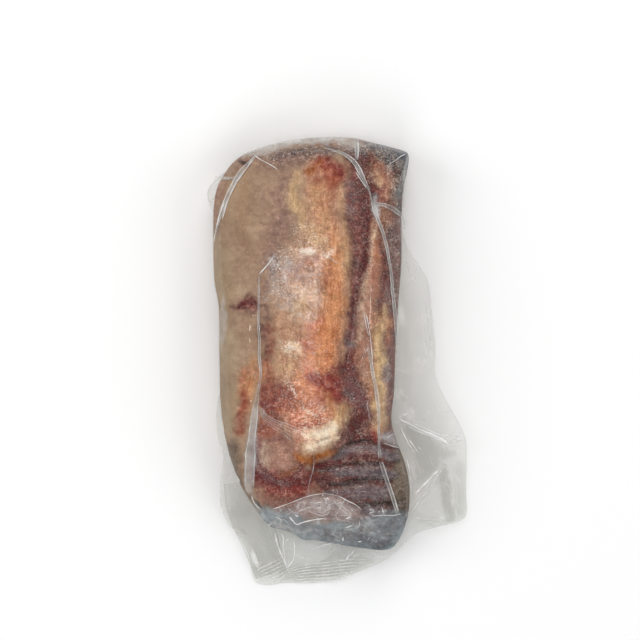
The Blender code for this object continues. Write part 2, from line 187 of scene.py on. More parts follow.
TISSUES = {
    # name: main colour, second colour, the noise that mixes them, its edge's softness and stray in
    # millimetres, how ragged the edge is and how strong pores and light grains are
    "olive": ((156, 136, 110), (142, 122, 98), "patch", 14.0, 6.0, 0.2, 0.15),
    "buff": ((188, 166, 138), (172, 148, 122), "patch", 9.0, 4.0, 0.2, 0.2),
    "umber": ((150, 118, 90), (136, 104, 80), "patch", 10.0, 5.0, 0.2, 0.3),
    "mauve": ((160, 128, 110), (138, 107, 94), "blotch", 20.0, 9.0, 0.3, 0.5),
    "plum": ((132, 102, 92), (104, 76, 70), "blotch", 8.0, 5.0, 0.5, 0.7),
    "flesh": ((112, 64, 58), (78, 42, 40), "blotch", 9.0, 4.0, 0.5, 0.8),
    "brown": ((98, 76, 70), (60, 42, 40), "blotch", 8.0, 4.0, 0.8, 1.0),
    "bark": ((110, 96, 82), (84, 70, 60), "patch", 9.0, 4.0, 0.4, 0.5),
    "muscle": ((193, 151, 121), (158, 114, 91), "fibre", 14.0, 6.0, 0.3, 0.6),
    "cream": ((216, 182, 137), (184, 145, 105), "fibre", 9.0, 4.0, 0.4, 0.5),
    "pink": ((204, 118, 82), (162, 70, 48), "cross", 13.0, 7.0, 0.3, 0.9),
    "orange": ((210, 145, 97), (178, 106, 67), "fibre", 11.0, 4.0, 0.3, 0.5),
    "lobe": ((168, 126, 108), (132, 90, 78), "mottle", 9.0, 4.0, 0.4, 0.5),
    "rust": ((166, 84, 58), (132, 58, 42), "mottle", 10.0, 5.0, 0.4, 0.7),
    "red": ((140, 46, 44), (100, 28, 32), "mottle", 8.0, 5.0, 0.4, 0.7),
    "flame": ((200, 88, 44), (164, 56, 34), "mottle", 7.0, 4.0, 0.5, 0.8),
    "dark": ((126, 74, 70), (88, 48, 48), "blotch", 7.0, 3.0, 0.5, 0.7),
    "maroon": ((100, 32, 36), (54, 20, 24), "cross", 5.0, 2.4, 0.5, 0.55),
    "ink": ((38, 24, 24), (20, 12, 12), "speckle", 2.6, 1.4, 0.6, 0.4),
    "grey": ((116, 104, 108), (72, 62, 68), "cross", 4.4, 2.0, 0.5, 0.3),
    "veil": ((160, 136, 130), (122, 100, 98), "cross", 7.0, 3.0, 0.5, 0.4),
    # painted highlight: a soft pale sheen laid into the meat's colour
    "painted_sheen": ((240, 196, 168), (200, 108, 78), "cross", 11.0, 6.0, 0.6, 1.0),
    # real fat, and also soft painted highlights at the glints
    "fat_and_glint": ((252, 240, 220), (234, 206, 172), "blotch", 7.0, 4.0, 0.6, 0.4),
    "amber": ((170, 98, 38), (128, 66, 28), "blotch", 5.0, 3.0, 0.9, 0.7),
    # blue-grey meat with the film's sheen painted in
    "teal_and_sheen": ((120, 132, 136), (92, 102, 110), "patch", 9.0, 4.0, 0.3, 0.3),
    "steel": ((80, 86, 96), (52, 56, 64), "blotch", 7.0, 4.0, 0.7, 0.5),
    # frost, and the film's sheen painted in on the crown and the top rim
    "frost_and_sheen": ((204, 196, 190), (168, 158, 152), "mottle", 7.0, 4.0, 0.7, 0.3),
}

# ---------------------------------------------------------------- where each tissue shows
# A spot is its strength (below 1 it is mottled in) and its route: X, Y and half width in millimetres
SPOTS = {
    "olive": (
        (0.8, ((-77, 88, 3), (-75, 60, 5), (-74, 30, 5), (-72, 0, 5), (-71, -40, 5))),
        (0.5, ((-64, -30, 3), (-66, -56, 4), (-65, -72, 4))),
    ),
    "buff": (
        (0.8, ((-67, 16, 2.4), (-66, 13, 2.4))),
        (0.6, ((-64, 44, 4), (-58, 44, 3))),
        (0.4, ((-64, 2, 4), (-64, -8, 3))),
    ),
    "umber": (
        (0.6, ((-58, 116, 3), (-61, 100, 4), (-60, 84, 4), (-57, 66, 3))),
        (0.4, ((-70, 60, 2), (-68, 44, 3))),
        (0.4, ((-58, 26, 3), (-56, 8, 4), (-58, -8, 3))),
    ),
    "mauve": (
        (0.7, ((-68, 122, 4), (-56, 127, 5), (-42, 128, 7), (-26, 130, 8), (-8, 134, 5))),
        (1.0, ((-32, 120, 6), (-38, 106, 8), (-38, 90, 10), (-42, 74, 9), (-43, 58, 8), (-44, 42, 6))),
        (0.6, ((-28, 92, 4), (-26, 80, 5))),
        (0.4, ((-60, 70, 6), (-56, 48, 6), (-62, 18, 7), (-58, 2, 6))),
        (0.6, ((-62, -46, 4), (-65, -60, 4), (-63, -76, 3))),
        (0.8, ((-45, 36, 4), (-46, 22, 4), (-42, 30, 3))),
    ),
    "plum": (
        (0.4, ((-31, 118, 2), (-34, 106, 3), (-31, 94, 2))),
        (0.4, ((-37, 90, 2), (-38, 80, 3), (-36, 72, 2))),
        (0.5, ((-44, 62, 3), (-42, 50, 4), (-36, 60, 3))),
        (0.8, ((-44, 127, 2), (-34, 130, 5), (-24, 129, 6), (-16, 131, 3))),
        (0.5, ((-66, 126, 2), (-60, 128, 3), (-52, 131, 3))),
        (0.5, ((-46, 40, 3), (-46, 28, 3))),
        (0.5, ((-78, 108, 2), (-79.4, 96, 2), (-79, 84, 1.4))),
    ),
    "flesh": (
        (1.0, (
            (14, 130, 10), (22, 112, 17), (24, 90, 18), (25, 60, 16), (23, 26, 16), (20, 0, 18),
            (20, -30, 18),
        )),
        (1.0, ((20, -40, 20), (22, -62, 26), (16, -82, 28))),
        (1.0, ((-34, -28, 12), (-38, -46, 13), (-38, -66, 17), (-32, -84, 16))),
        (0.7, ((-14, 137, 3), (2, 139, 3), (16, 136, 5))),
        (0.5, ((-46, 34, 2), (-45, 16, 3), (-45, -2, 3.4), (-46, -16, 4))),
    ),
    "brown": (
        (1.0, ((14, 138, 3), (30, 133, 6), (38, 118, 6), (39, 98, 4), (38, 80, 6), (38, 60, 5), (38, 40, 4))),
        (0.8, ((38, 40, 4), (38, 20, 3), (37, 0, 3), (36, -20, 3), (34, -36, 3))),
        (0.6, ((-30, 133.6, 1.6), (-16, 134.6, 1.8), (-4, 135.6, 1.6))),
    ),
    "bark": (
        (1.0, ((42, -58, 5), (44, -74, 9), (44, -88, 9), (43, -98, 7))),
        (0.8, ((-68, -56, 3), (-65, -70, 4), (-62, -82, 3), (-56, -92, 3))),
        (0.6, ((-54, -88, 2), (-50, -94, 2.4), (-42, -96, 1.6))),
    ),
    "muscle": (
        (1.0, ((-12, 118, 8), (-9, 104, 12), (-8, 86, 14), (-9, 60, 17), (-13, 30, 20), (-18, 0, 22))),
        (1.0, ((-18, 0, 22), (-18, -24, 22), (-18, -44, 16))),
        (0.9, ((-24, 66, 8), (-27, 46, 12), (-28, 26, 11), (-28, 8, 10))),
        (0.9, ((27, 124, 3), (29, 116, 4), (28, 107, 3))),
        (0.8, ((31, 95, 3), (31, 88, 2))),
        (1.0, (
            (22.5, 90, 0.8), (23.4, 80, 2.4), (23, 68, 3.4), (22.6, 54, 4.4), (20.6, 44, 4.6),
            (18, 30, 4),
        )),
        (1.0, ((18, 30, 4), (17, 14, 3.6), (18, 2, 3.6), (21, -12, 4), (25, -28, 3.4), (26, -44, 2.4))),
    ),
    "cream": (
        (0.75, ((-26, 118, 2), (-27, 108, 3.4), (-25.4, 99, 3.2), (-24, 88, 2))),
        (0.5, ((2, 112, 1), (4.6, 102, 2), (4, 90, 2), (4, 76, 1.6), (3.6, 60, 1.4))),
        (0.5, ((-16, 82, 4), (-12, 74, 4))),
        (0.65, ((-12, 108, 3), (-14, 98, 3), (-10, 88, 3), (-12, 78, 2))),
        (1.0, ((29.4, 32, 2), (28.4, 22, 3.4), (26.6, 13, 4), (26, 4, 4), (26, -8, 4), (26.6, -20, 3.8))),
        (1.0, ((26.6, -20, 3.8), (27.6, -32, 3.2), (28, -44, 2.4))),
        (0.4, ((-40, -2, 2), (-38, -8, 2), (-33, -5, 2.4), (-27, -2, 2))),
        (0.5, ((-18, 46, 3), (-20, 40, 3), (-27, 28, 3))),
        (0.4, ((-41, -48, 1.6), (-38, -58, 2.4), (-33, -67, 1.6))),
        (0.9, ((5, -28, 2.4), (3, -35, 3), (0, -41, 2.6))),
        (0.7, ((27, 112, 2), (29, 116, 2))),
        (0.8, ((-57, -9, 1.2), (-55.6, -17, 2.2), (-54, -18, 1.6))),
    ),
    "pink": (
        (0.25, ((-14, 106, 4), (-12, 96, 6), (-8, 84, 5))),
        (0.8, ((-14, 20, 6), (-13, 12, 9), (-12, 2, 10), (-14, -10, 10), (-16, -22, 10))),
        (0.9, ((-16, -22, 10), (-20, -32, 10), (-14, -40, 7))),
        (0.7, ((-34, -22, 5), (-30, -32, 6))),
        (0.3, ((15.6, 36, 2.4), (16, 22, 2.8), (15, 10, 2.8), (17, 0, 2.6))),
        (0.6, ((24, 74, 1.6), (23, 62, 3), (23, 50, 3))),
        (0.3, ((-18, 60, 6), (-30, 54, 6))),
    ),
    "orange": (
        (0.8, ((-2, 84, 1), (-1, 74, 3), (-1, 60, 5), (-1.6, 46, 6), (-3, 32, 7), (-6, 16, 8), (-9, 2, 8))),
        (0.4, ((4, 78, 1), (4, 62, 2), (3.4, 48, 2), (3, 34, 2))),
        (0.4, ((-14, 112, 2), (-8, 109, 3), (-2, 105, 2))),
        (0.3, ((-6, 104, 1), (-6, 94, 2), (-4, 84, 1.6))),
        (0.5, ((24, 84, 1), (24.4, 76, 1.6), (23.6, 68, 1.4))),
        (0.9, ((33.5, 27, 1.4), (33.5, 20, 1.6), (33, 14, 1.2))),
        (0.8, ((-46, -5, 1.6), (-46, -11, 1.6))),
        (0.9, ((-24, -12, 3), (-21, -22, 4), (-20, -32, 4))),
        (0.6, ((-18, 14, 2), (-10, 10, 5), (-8, 0, 4))),
        (0.8, ((-8, -6, 5), (-4, -30, 3))),
        (0.7, ((-52, -4, 1.6), (-54, -12, 3.4), (-56, -20, 3.6), (-57, -28, 2))),
    ),
    "lobe": (
        (1.0, ((-42, -42, 5), (-42, -52, 9), (-38, -60, 11.5), (-36, -64, 10))),
        (0.6, ((-28, -48, 4), (-26, -56, 3))),
        (0.5, ((-1, 112, 1), (-2, 102, 1.6), (0, 90, 1.6), (0, 80, 1))),
        (0.4, ((-19, 108, 1), (-20, 96, 1.6), (-19, 84, 1.4))),
        (0.8, ((-50, -80, 1.6), (-48, -88, 3), (-38, -91, 3), (-26, -90, 2))),
        (0.8, ((24, 60, 1.6), (22.6, 50, 2.4), (20, 38, 2.6), (17, 24, 2.8), (16, 8, 3), (18, -6, 2.6))),
        (0.8, ((-76, 116, 1.6), (-77, 104, 2.2), (-78, 92, 1.6))),
    ),
    "rust": (
        (0.7, ((-44, -14, 4), (-42, -24, 5), (-44, -36, 5), (-46, -46, 4))),
        (0.6, ((-30, -22, 5), (-30, -32, 4))),
        (0.9, ((-11, 126, 3), (-5, 121, 7), (-2, 114, 6), (0, 108, 2))),
        (0.7, ((-17, 118, 1.6), (-12, 115, 2.4))),
        (0.75, ((-57, -8, 0.8), (-60, -16, 1.6), (-61, -24, 2.6), (-61.4, -35, 2.6), (-61.6, -46, 1.2))),
        (0.7, ((27, 122, 2), (31, 116, 1.4))),
        (0.7, ((-46, -16, 2.4), (-44, -4, 1.6), (-43, 8, 2), (-43, 20, 2))),
        (0.6, ((-50, -48, 2), (-44, -44, 2))),
        (0.7, ((-42, -85, 3), (-30, -86, 3), (-20, -84, 3))),
        (0.35, ((-4, 54, 2), (-4, 46, 3))),
        (0.7, ((-8, -20, 5), (-2, -20, 4))),
        (0.6, ((-20, -40, 4), (-12, -36, 4))),
    ),
    "red": (
        (0.9, ((-9, 129, 2), (-3, 127, 2.6), (3, 121, 2.4))),
        (0.5, ((-60, -22, 2), (-61, -31, 2), (-61, -42, 1.4))),
        (0.8, ((-46, -16, 2), (-46, -26, 2.6), (-39, -27, 3))),
        (0.7, ((-36, -24, 4), (-30, -16, 2))),
        (0.9, ((-15, -11, 3.4), (-7, -12, 5.4), (1, -15, 5.4), (3, -24, 4))),
        (0.5, ((-28, -22, 3), (-22, -28, 3), (-12, -26, 3))),
        (0.5, ((-26, -42, 3), (-19, -43, 3))),
        (0.8, ((4, -6, 3), (-1, -6, 3))),
        (1.0, ((21.6, -45, 2.4), (23, -49, 2.6), (24, -51, 1.6))),
        (0.65, ((-47, -79, 2.6), (-36, -81, 3), (-24, -80.6, 3), (-14, -79, 3))),
        (0.8, (
            (-50.6, -54, 1), (-52.4, -63, 3.6), (-48, -73, 5.4), (-38, -78, 5.4), (-26, -77, 5.6),
            (-16, -74, 5),
        )),
        (0.7, ((-22, -66, 2), (-22, -72, 3))),
        (0.6, ((27, 104, 1.6), (32, 107, 2), (30, 120, 1.4))),
    ),
    "flame": (
        (1.0, ((-11, 126, 2), (-4, 122, 5.2), (1, 117, 5), (2, 111, 2.4))),
        (0.7, ((-13, -10, 2), (-6, -15, 3.4), (0, -20, 2.8))),
        (0.6, ((-30, -30, 1.6), (-24, -37, 2), (-18, -41, 1.6))),
        (0.5, ((-24, -10, 2), (-20, -20, 3), (-14, -27, 3), (-8, -30, 2))),
        (0.45, ((-58, -10, 0.8), (-60.6, -20, 1.6), (-61, -30, 1.4))),
        (0.6, ((-24, -26, 2), (-20, -34, 2.4), (-18, -40, 2))),
        (0.35, ((-5, 54, 2), (-4, 46, 3))),
        (0.4, ((-46, -2, 1.6), (-46, -10, 2))),
        (0.4, ((-42, -10, 1.6), (-38, -18, 3), (-33, -26, 2))),
    ),
    "dark": (
        (0.9, ((10, 121, 3), (11, 112, 5), (13, 98, 7.4), (13.4, 86, 7.4), (14, 76, 6.2), (14, 64, 5.4))),
        (1.0, ((14, 64, 5.4), (13.4, 54, 4), (12, 44, 2.8), (11, 33, 2.8), (9.6, 22, 3.2), (8, 14, 3))),
        (0.9, ((30, 57, 2), (30, 48, 3.6), (28, 41, 2.4), (25.5, 35, 1.6))),
        (0.9, ((35, 18, 1.6), (34.6, 6, 2), (34.4, -8, 2.6), (34, -20, 2.6), (32.6, -34, 2))),
        (0.8, ((38, 92, 2), (38, 78, 3), (38.5, 60, 2.4), (39, 44, 1.4))),
        (0.5, ((-45, 20, 2), (-46, 10, 2.4), (-47, 2, 2))),
        (0.7, ((22, 114, 2.4), (23, 105, 2))),
        (0.7, ((34.6, 122, 2.4), (35, 114, 1.4))),
        (0.6, ((-62, 129, 1.6), (-57, 125.6, 1.6))),
        (1.0, ((-66, 33.4, 0.8), (-61, 35, 2.8), (-56, 36, 3.8), (-53, 34.8, 2.8))),
        (0.3, ((-38, -14, 3), (-36, -20, 5), (-32, -28, 4))),
        (0.9, ((7, -6, 4), (9, -16, 6), (12, -26, 4))),
        (0.9, ((5, -56, 3), (16, -58, 3), (28, -58, 4))),
    ),
    "maroon": (
        (0.85, ((-65, 33.6, 0.6), (-60, 35.4, 2.4), (-56, 36.4, 3.4), (-53, 35, 2.4))),
        (1.0, (
            (19.6, 110, 0.8), (19.6, 98, 2), (18.4, 84, 2.4), (17.6, 68, 2.4), (15.8, 54, 2),
            (12.8, 46, 1.2),
        )),
        (0.8, ((12, 42, 1.4), (11, 30, 1.8), (9.5, 20, 1.4))),
        (1.0, ((25.8, 84, 0.4), (28, 74, 1), (30, 62, 1.4), (32, 52, 1.4))),
        (0.8, ((8, 8, 2), (7, 0, 3.4), (3, -6, 3))),
        (0.7, ((17, -22, 2), (17, -32, 2.4), (14, -40, 4), (12, -46, 4), (17, -49, 3))),
        (0.7, (
            (-50.6, -56, 1), (-52, -64, 2.6), (-48, -73, 3.6), (-39, -77.4, 3.6), (-27, -77, 4),
            (-17, -75, 4.2),
        )),
        (0.8, ((-34, -50, 0.6), (-38, -48.6, 0.8), (-46, -52, 1))),
        (0.15, ((-41, -14, 1.6), (-37, -22, 3), (-31, -18, 2))),
        (0.5, ((-44, -30, 1.6), (-38, -36, 2.4), (-30, -38, 1.6))),
        (0.4, ((-14, -8, 1.4), (-6, -7, 2), (2, -8, 2))),
        # dark lines along the root folds' grooves: tissue colour with painted shade in the creases
        (1.0, (
            (-15, -67, 3), (-8, -67, 3.6), (0, -65.4, 2.4), (8, -64.6, 1.4), (18, -65, 1), (27, -66, 0.8),
        )),
        (0.9, ((10, -60.6, 1.6), (18, -60.6, 2), (24, -61.4, 1.4))),
        (0.9, ((-14, -74, 3), (-6, -76, 3))),
        (0.9, ((-6, -79.4, 1.6), (5, -78.4, 2), (14, -77.4, 2), (24, -76.6, 2), (33, -77, 1.6))),
        (0.7, ((16, -90.6, 1), (26, -90.6, 1.6), (34, -90.6, 1.2))),
        (0.6, ((22, 112, 1), (23, 106, 1.4), (25, 103, 1))),
    ),
    "grey": (
        (0.25, ((7, 114, 2.6), (8, 104, 3.4), (9, 95, 3))),
        (0.5, ((-44, 130, 1.4), (-30, 133, 2.4), (-14, 134.4, 3), (0, 135, 3), (14, 133, 4))),
        (0.7, ((6, 13, 1.6), (8, 11, 1.8))),
        (0.2, ((-42, 56, 3), (-38, 62, 4), (-28, 60, 4), (-18, 58, 3))),
        (0.15, ((-44, 44, 3), (-36, 46, 3), (-28, 36, 3))),
        (0.4, ((8, -17, 3.4), (11, -22, 4), (14, -27, 3))),
        # grey-lilac bands on the root folds' ridges: tissue colour with painted highlights
        (1.0, ((0, -60.6, 1.4), (6, -57, 2.6), (12, -55, 2), (22, -55.4, 1.8), (28, -57, 2.4))),
        (1.0, ((28, -58, 2.6), (33, -60, 3.2), (38, -60, 2))),
        (1.0, ((29, -48, 1.4), (34, -50, 3), (38, -53, 2))),
        (1.0, ((-3, -71, 1.4), (6, -70, 2.8), (16, -70.6, 3.4), (28, -71, 3.4), (35, -72, 2.4))),
        (1.0, ((-8, -83.6, 1.2), (6, -82.8, 1.8), (18, -82.6, 2.2), (30, -82.6, 2.2))),
        (1.0, ((8, -86.6, 1.6), (20, -86.6, 2), (30, -86, 1.6))),
        (1.0, ((14, -95.6, 2), (26, -95.6, 2.4), (36, -95, 2))),
    ),
    "veil": (
        (1.0, ((-30, -97, 3), (-20, -94, 6), (-10, -94, 8), (2, -96, 8), (8, -98, 6))),
        (0.5, ((-6, -103, 3), (4, -103, 3))),
        # pale bands on the root folds' ridges: partly painted highlights
        (0.7, ((4, -83.4, 0.8), (16, -80.6, 1), (26, -80.4, 1))),
        (0.6, ((33, -48.6, 1.4), (36, -51, 1.6))),
        (0.5, ((10, -69, 1), (20, -69.6, 1.2), (30, -70, 1))),
        (0.5, ((8, -56.6, 0.8), (16, -56, 1), (22, -57, 0.8))),
    ),
    "ink": (
        # near-black lines along the root folds' grooves: painted shade in the creases
        (1.0, (
            (-3, -60.4, 1), (2, -56.4, 1.5), (6, -52.6, 1.7), (12, -51.4, 1.3), (20, -51.6, 0.9),
            (26, -53.4, 0.8),
        )),
        (1.0, ((6, -75.8, 0.8), (14, -75.2, 1.3), (26, -74.6, 1.6), (34, -75.4, 1.3))),
        (0.9, ((-6, -78, 1), (4, -78, 1.4), (14, -78.6, 1.2), (24, -79, 1))),
        (0.8, ((-14, -70, 1), (-8, -70, 1.2), (-2, -67, 1), (8, -65.6, 1), (20, -66, 1), (32, -67, 0.9))),
        (1.0, ((12, -92.6, 0.8), (20, -91.4, 1.4), (30, -90.6, 1.7), (38, -90.4, 1.1))),
        (0.9, ((30, -83, 1.2), (31.4, -88, 1.4))),
        (1.0, ((28, -53, 0.5), (34, -55.2, 0.8), (40, -57, 0.7))),
        (0.9, ((31, -45, 0.5), (34, -46.4, 0.9), (36, -48.4, 0.6))),
        (0.9, ((31, -64.4, 0.8), (35, -64, 1.1), (38, -63.6, 0.9))),
        # near-black line along the root end's lower rim: painted shade where the end turns down
        (0.8, ((-10, -114.8, 0.5), (4, -116.8, 0.7), (16, -118, 0.7), (30, -119, 0.8))),
        (1.0, ((-55, -86.6, 0.5), (-53, -89.6, 0.6), (-50, -92.6, 0.6), (-47, -94.4, 0.4))),
        (0.8, ((8.6, 132.6, 0.8), (7.4, 134, 0.5))),
        (0.8, ((17, 131.6, 0.8), (19, 130.6, 0.6))),
        (0.6, ((-28, 133.6, 0.8), (-22, 134.4, 1))),
        (1.0, ((-63, 127.6, 1), (-60, 126.6, 1.2), (-57, 126, 0.8))),
        (0.8, ((34, 126, 1), (36, 121, 1), (38, 117, 0.7))),
        (0.8, ((32, 136, 0.8), (37, 134.4, 1), (42, 133.4, 0.8))),
        (0.6, ((22, 107, 1), (24, 102.6, 0.8))),
        (0.5, ((-16, -50.4, 0.5), (-10, -50.6, 0.6), (-5, -49, 0.5), (-1, -47.6, 0.4))),
    ),
    # painted highlight: soft sheen on the crown, the lower middle and the lobe
    "painted_sheen": (
        (0.6, ((-28, -33, 3), (-18, -34, 4), (-10, -35, 3))),
        (0.7, ((-24, -45, 3), (-20, -49, 3))),
        (0.25, ((-30, 48, 4), (-20, 44, 5), (-14, 38, 3))),
        (0.35, ((-20, 68, 3), (-6, 67, 3))),
        (0.3, ((-28, -14, 3), (-24, -22, 3))),
        (0.2, ((-36, -58, 3), (-36, -64, 3))),
    ),
    "fat_and_glint": (
        # pale patch, partly fat and partly a painted highlight
        (0.6, ((-32, 8, 2.6), (-29, 9, 3.4), (-27, 7, 2.4))),
        # painted highlights: soft white at the two glints above the middle
        (0.45, ((-21, 69.4, 1), (-18, 68.6, 1.8), (-16, 69.4, 1))),
        (0.35, ((-9, 66.6, 0.8), (-5, 68, 1.2), (-3, 70, 0.6))),
        (1.0, ((-17, -47, 2), (-11, -45, 3.2), (-6, -42.6, 3), (-3, -38.6, 1.4))),
        (1.0, ((-20, -53.4, 1.2), (-13, -53.4, 2.2), (-6, -51, 2.2), (-1.4, -48.4, 1.2))),
        (0.15, ((-28, 46, 4), (-20, 40, 4))),
        (0.4, ((23, 88, 0.6), (20.6, 66, 0.6), (18, 52, 0.6), (15.6, 42, 0.6), (14, 28, 0.6), (12, 12, 0.6))),
        (0.5, ((-45, -53, 0.5), (-48.6, -59, 0.7), (-48, -66, 0.5))),
        (0.4, ((-42, -56, 0.4), (-45.4, -62, 0.6), (-43, -69, 0.5))),
    ),
    "amber": (
        (0.9, ((-20, 122, 1.2), (-17.6, 119, 1.8), (-15, 124.4, 1.2), (-11, 126.4, 1.2))),
        (1.0, (
            (-26, -57.6, 1.6), (-20.6, -61.4, 3), (-14, -60.6, 2.6), (-9.6, -61.4, 2.8), (-3.4, -57, 1.6),
        )),
        (0.8, ((-26, -68, 1), (-30, -71, 1), (-36, -74, 0.8))),
        (0.5, ((19, -18, 1.2), (21, -24, 1.2))),
        (0.5, ((2, -33, 1), (5, -29, 1.4))),
    ),
    # blue-grey meat with the film's sheen painted in, at the root end and the top right rim
    "teal_and_sheen": (
        (0.9, ((42, 133, 3), (44, 127, 2.4), (43, 118, 2), (42, 108, 1))),
        (0.5, ((24, 137, 2), (33, 134, 2.6), (38, 125, 2.6))),
        (1.0, ((-46, -101, 5), (-34, -104, 7), (-18, -110, 7), (0, -113, 5), (16, -114, 6), (30, -112, 9))),
        (1.0, ((18, -104, 4), (28, -103, 6), (39, -104, 7))),
        (1.0, ((-53, -96, 3), (-44, -106, 6), (-30, -111, 8), (-12, -116, 8), (14, -120, 8), (31, -121, 8))),
        (1.0, ((31, -121, 8), (40, -116, 8), (46, -103, 6))),
        (1.0, ((-34, -100, 3), (-20, -103, 3), (-6, -107, 4), (10, -106, 4))),
    ),
    "steel": (
        (1.0, ((34, 128, 3), (39, 131, 4), (43.6, 129, 3), (44, 120, 1.6))),
        (0.8, ((20, 136, 2), (30, 134.6, 3), (36, 122, 1.6))),
        (1.0, ((-9, -110.6, 1.6), (0, -112, 3), (12, -113.4, 4), (24, -115, 4), (34, -116, 3))),
        (0.6, ((14, -105, 3), (22, -108, 3))),
        (0.8, ((26, -105, 4), (34, -109, 6), (42, -103, 4))),
        (0.5, ((38, 108, 1.6), (39, 96, 1.6))),
    ),
    "frost_and_sheen": (
        # painted sheen of the film along the top rim, with frost
        (1.0, ((-58, 132.6, 1.8), (-40, 137.4, 3), (-20, 140, 3), (-2, 141.4, 2.4))),
        (0.8, ((0, 138, 2.4), (8, 137, 3.4), (18, 137, 2.4))),
        # painted reflection of a light in the crown's film, drawn as frosty grey
        (0.25, ((-43, 42, 4), (-38, 52, 5), (-32, 62, 6), (-22, 66, 5))),
        (0.3, ((-34, 40, 4), (-28, 30, 4))),
        (0.7, ((30.6, -3, 0.7), (30.8, -12, 0.9))),
        (0.4, ((-42, -104, 2), (-34, -106, 2), (-16, -112, 2))),
    ),
}
# How strongly threads of ice and dark cells show on a tissue
WORM_SHARE = {"brown": 1.0, "flesh": 0.4, "plum": 0.4, "grey": 0.3, "steel": 0.3}
# Where frost glitters and white glints are painted in as highlights: strength, above 1 all but solid, and
# route, as for the spots
FROST_AND_GLINT_SPOTS = (
    (2.2, ((-23, 69.6, 0.6), (-19, 68.8, 1.6), (-15, 69.4, 0.6))),
    (1.6, ((-10, 66.6, 0.6), (-6, 67.6, 1.2), (-3, 70.4, 0.6))),
    (0.9, ((-34, 7, 1), (-30, 9, 3), (-26, 7, 1.4))),
    (1.0, ((-37, 70.4, 0.8), (-28, 70.4, 1), (-12, 69, 1), (-4, 69, 1.4))),
    (0.9, ((-31, 59, 0.4), (-22, 58.6, 0.6), (-14, 60, 0.5))),
    (0.5, ((-40, 50, 4), (-34, 44, 6), (-24, 42, 7), (-15, 38, 5), (-15, 24, 5))),
    (0.42, ((-36, 10, 4), (-28, 9, 5), (-14, 8, 8), (-14, -6, 9), (-24, -14, 12), (-22, -28, 13))),
    (0.55, ((-12, -34, 7), (-24, -38, 6), (-12, -45, 4))),
    (1.1, ((-33, -13, 1), (-28, -17, 2), (-26, -22, 1))),
    (1.1, ((-23, -29, 1), (-18, -33, 2), (-11, -35, 1.4))),
    (1.1, ((-28, -42, 1), (-22, -46, 1.6), (-19, -51, 1))),
    (0.8, ((-36, 46, 1.6), (-33, 54, 2), (-38, 60, 1.6))),
    (0.8, ((-22, 40, 1.6), (-16, 44, 2), (-13, 38, 1.2))),
    (0.5, ((-24, 84, 6), (-12, 78, 6), (-38, 62, 8))),
    (0.05, ((12, 110, 6), (12, 92, 7), (12, 74, 5), (12, 60, 3))),
    (0.2, ((37, 84, 3), (37, 60, 3))),
    (0.4, ((-44, 128, 5), (-24, 132, 5), (10, 134, 5), (30, 131, 6), (38, 112, 4))),
)

# ---------------------------------------------------------------- film
# Where the film on the tongue is clouded, and along its left edge and top rim partly painted sheen: strength
# and route, as for the spots
HAZE_SPOTS = (
    (0.07, ((-30, -97, 4), (-16, -92, 5), (0, -92, 6), (9, -97, 5))),
    (0.08, ((-48, -100, 8), (-20, -108, 8), (10, -110, 8), (34, -108, 10))),
    (0.22, ((28, -49, 1.4), (33, -50, 3), (38, -53, 2.4))),
    (0.20, ((-52, -31, 1.6), (-54, -45, 2.6), (-55.4, -60, 3.2), (-56.4, -80, 3.2))),
    (0.40, ((23.4, 103, 1), (23.6, 97, 1.8), (25, 92, 1))),
    # whitish film along the left edge: haze with painted sheen of the sloping film
    (0.16, ((-72.6, 42, 0.2), (-73, 31, 1.8), (-73.8, 20, 1.8), (-74.6, 6, 0.2))),
    (0.16, ((37.6, -18, 0.8), (36.6, -34, 1.8), (38, -50, 1.6))),
    # cream-grey top rim: haze with painted sheen of the sloping film
    (0.30, ((-60, 134, 2), (-40, 140, 2.6), (-12, 143, 2.6), (6, 142, 2))),
    (0.18, ((6, 142, 2), (30, 138, 2), (45, 133, 1.6))),
    (0.30, ((44.6, 130, 0.8), (43, 116, 0.8), (41.8, 96, 0.8), (41.4, 70, 0.6))),
)
# Where the loose film lies in several layers and is darker, and where shade along its folds is painted in
FOLD_AND_SHADE_SPOTS = (
    (0.9, ((46, -45, 2), (54, -52, 6), (58, -62, 9), (56, -72, 6), (52, -78, 2))),
    (0.7, ((60, -56, 6), (68, -60, 4), (74, -60, 2))),
    (1.0, ((69, -69, 1.4), (70, -80, 3), (71, -92, 3.6), (72, -103, 3.6))),
    (0.5, ((79, -68, 3), (79.5, -85, 3.6), (79.5, -99, 3.4))),
    (0.4, ((48, -98, 3), (56, -103, 2), (66, -105, 2))),
    (0.3, ((42, 20, 2), (45, -4, 3), (44, -24, 3))),
    (0.6, ((-1, -120, 2), (-3, -125, 2.4), (-9, -130.4, 2))),
    (0.5, ((1, -122, 3), (3, -127, 3))),
    (0.6, ((-36, -138, 3), (-20, -137, 5), (-4, -135, 5), (10, -131, 4), (22, -129, 1.6))),
    (0.25, ((-71, -96, 2), (-66, -97, 4), (-58, -97, 4))),
    (0.5, ((-66, -109, 1), (-61, -111, 1.4))),
)
# darker right half and lower end of the tail: painted shade, with the fold's layers
TAIL_SPOTS = (
    (0.35, ((-48, -104, 2), (-44, -116, 4), (-38, -128, 4), (-34, -136, 3))),
    (0.4, ((-54, -134, 3), (-46, -139, 5), (-38, -140, 4))),
)
# Where it is crumpled into small facets
CRUMPLED_SPOTS = (
    (0.7, ((-30, -96, 4), (-20, -93, 5), (-6, -92, 6), (6, -96, 6))),
    (0.3, ((-44, -102, 5), (-28, -105, 6), (-8, -106, 6), (8, -106, 6), (26, -104, 6), (38, -102, 5))),
    (0.15, ((-6, -113, 4), (12, -114, 5), (28, -112, 6))),
    (0.75, ((-42, 64, 4), (-34, 56, 8), (-26, 46, 7), (-18, 62, 7), (-16, 40, 5))),
)
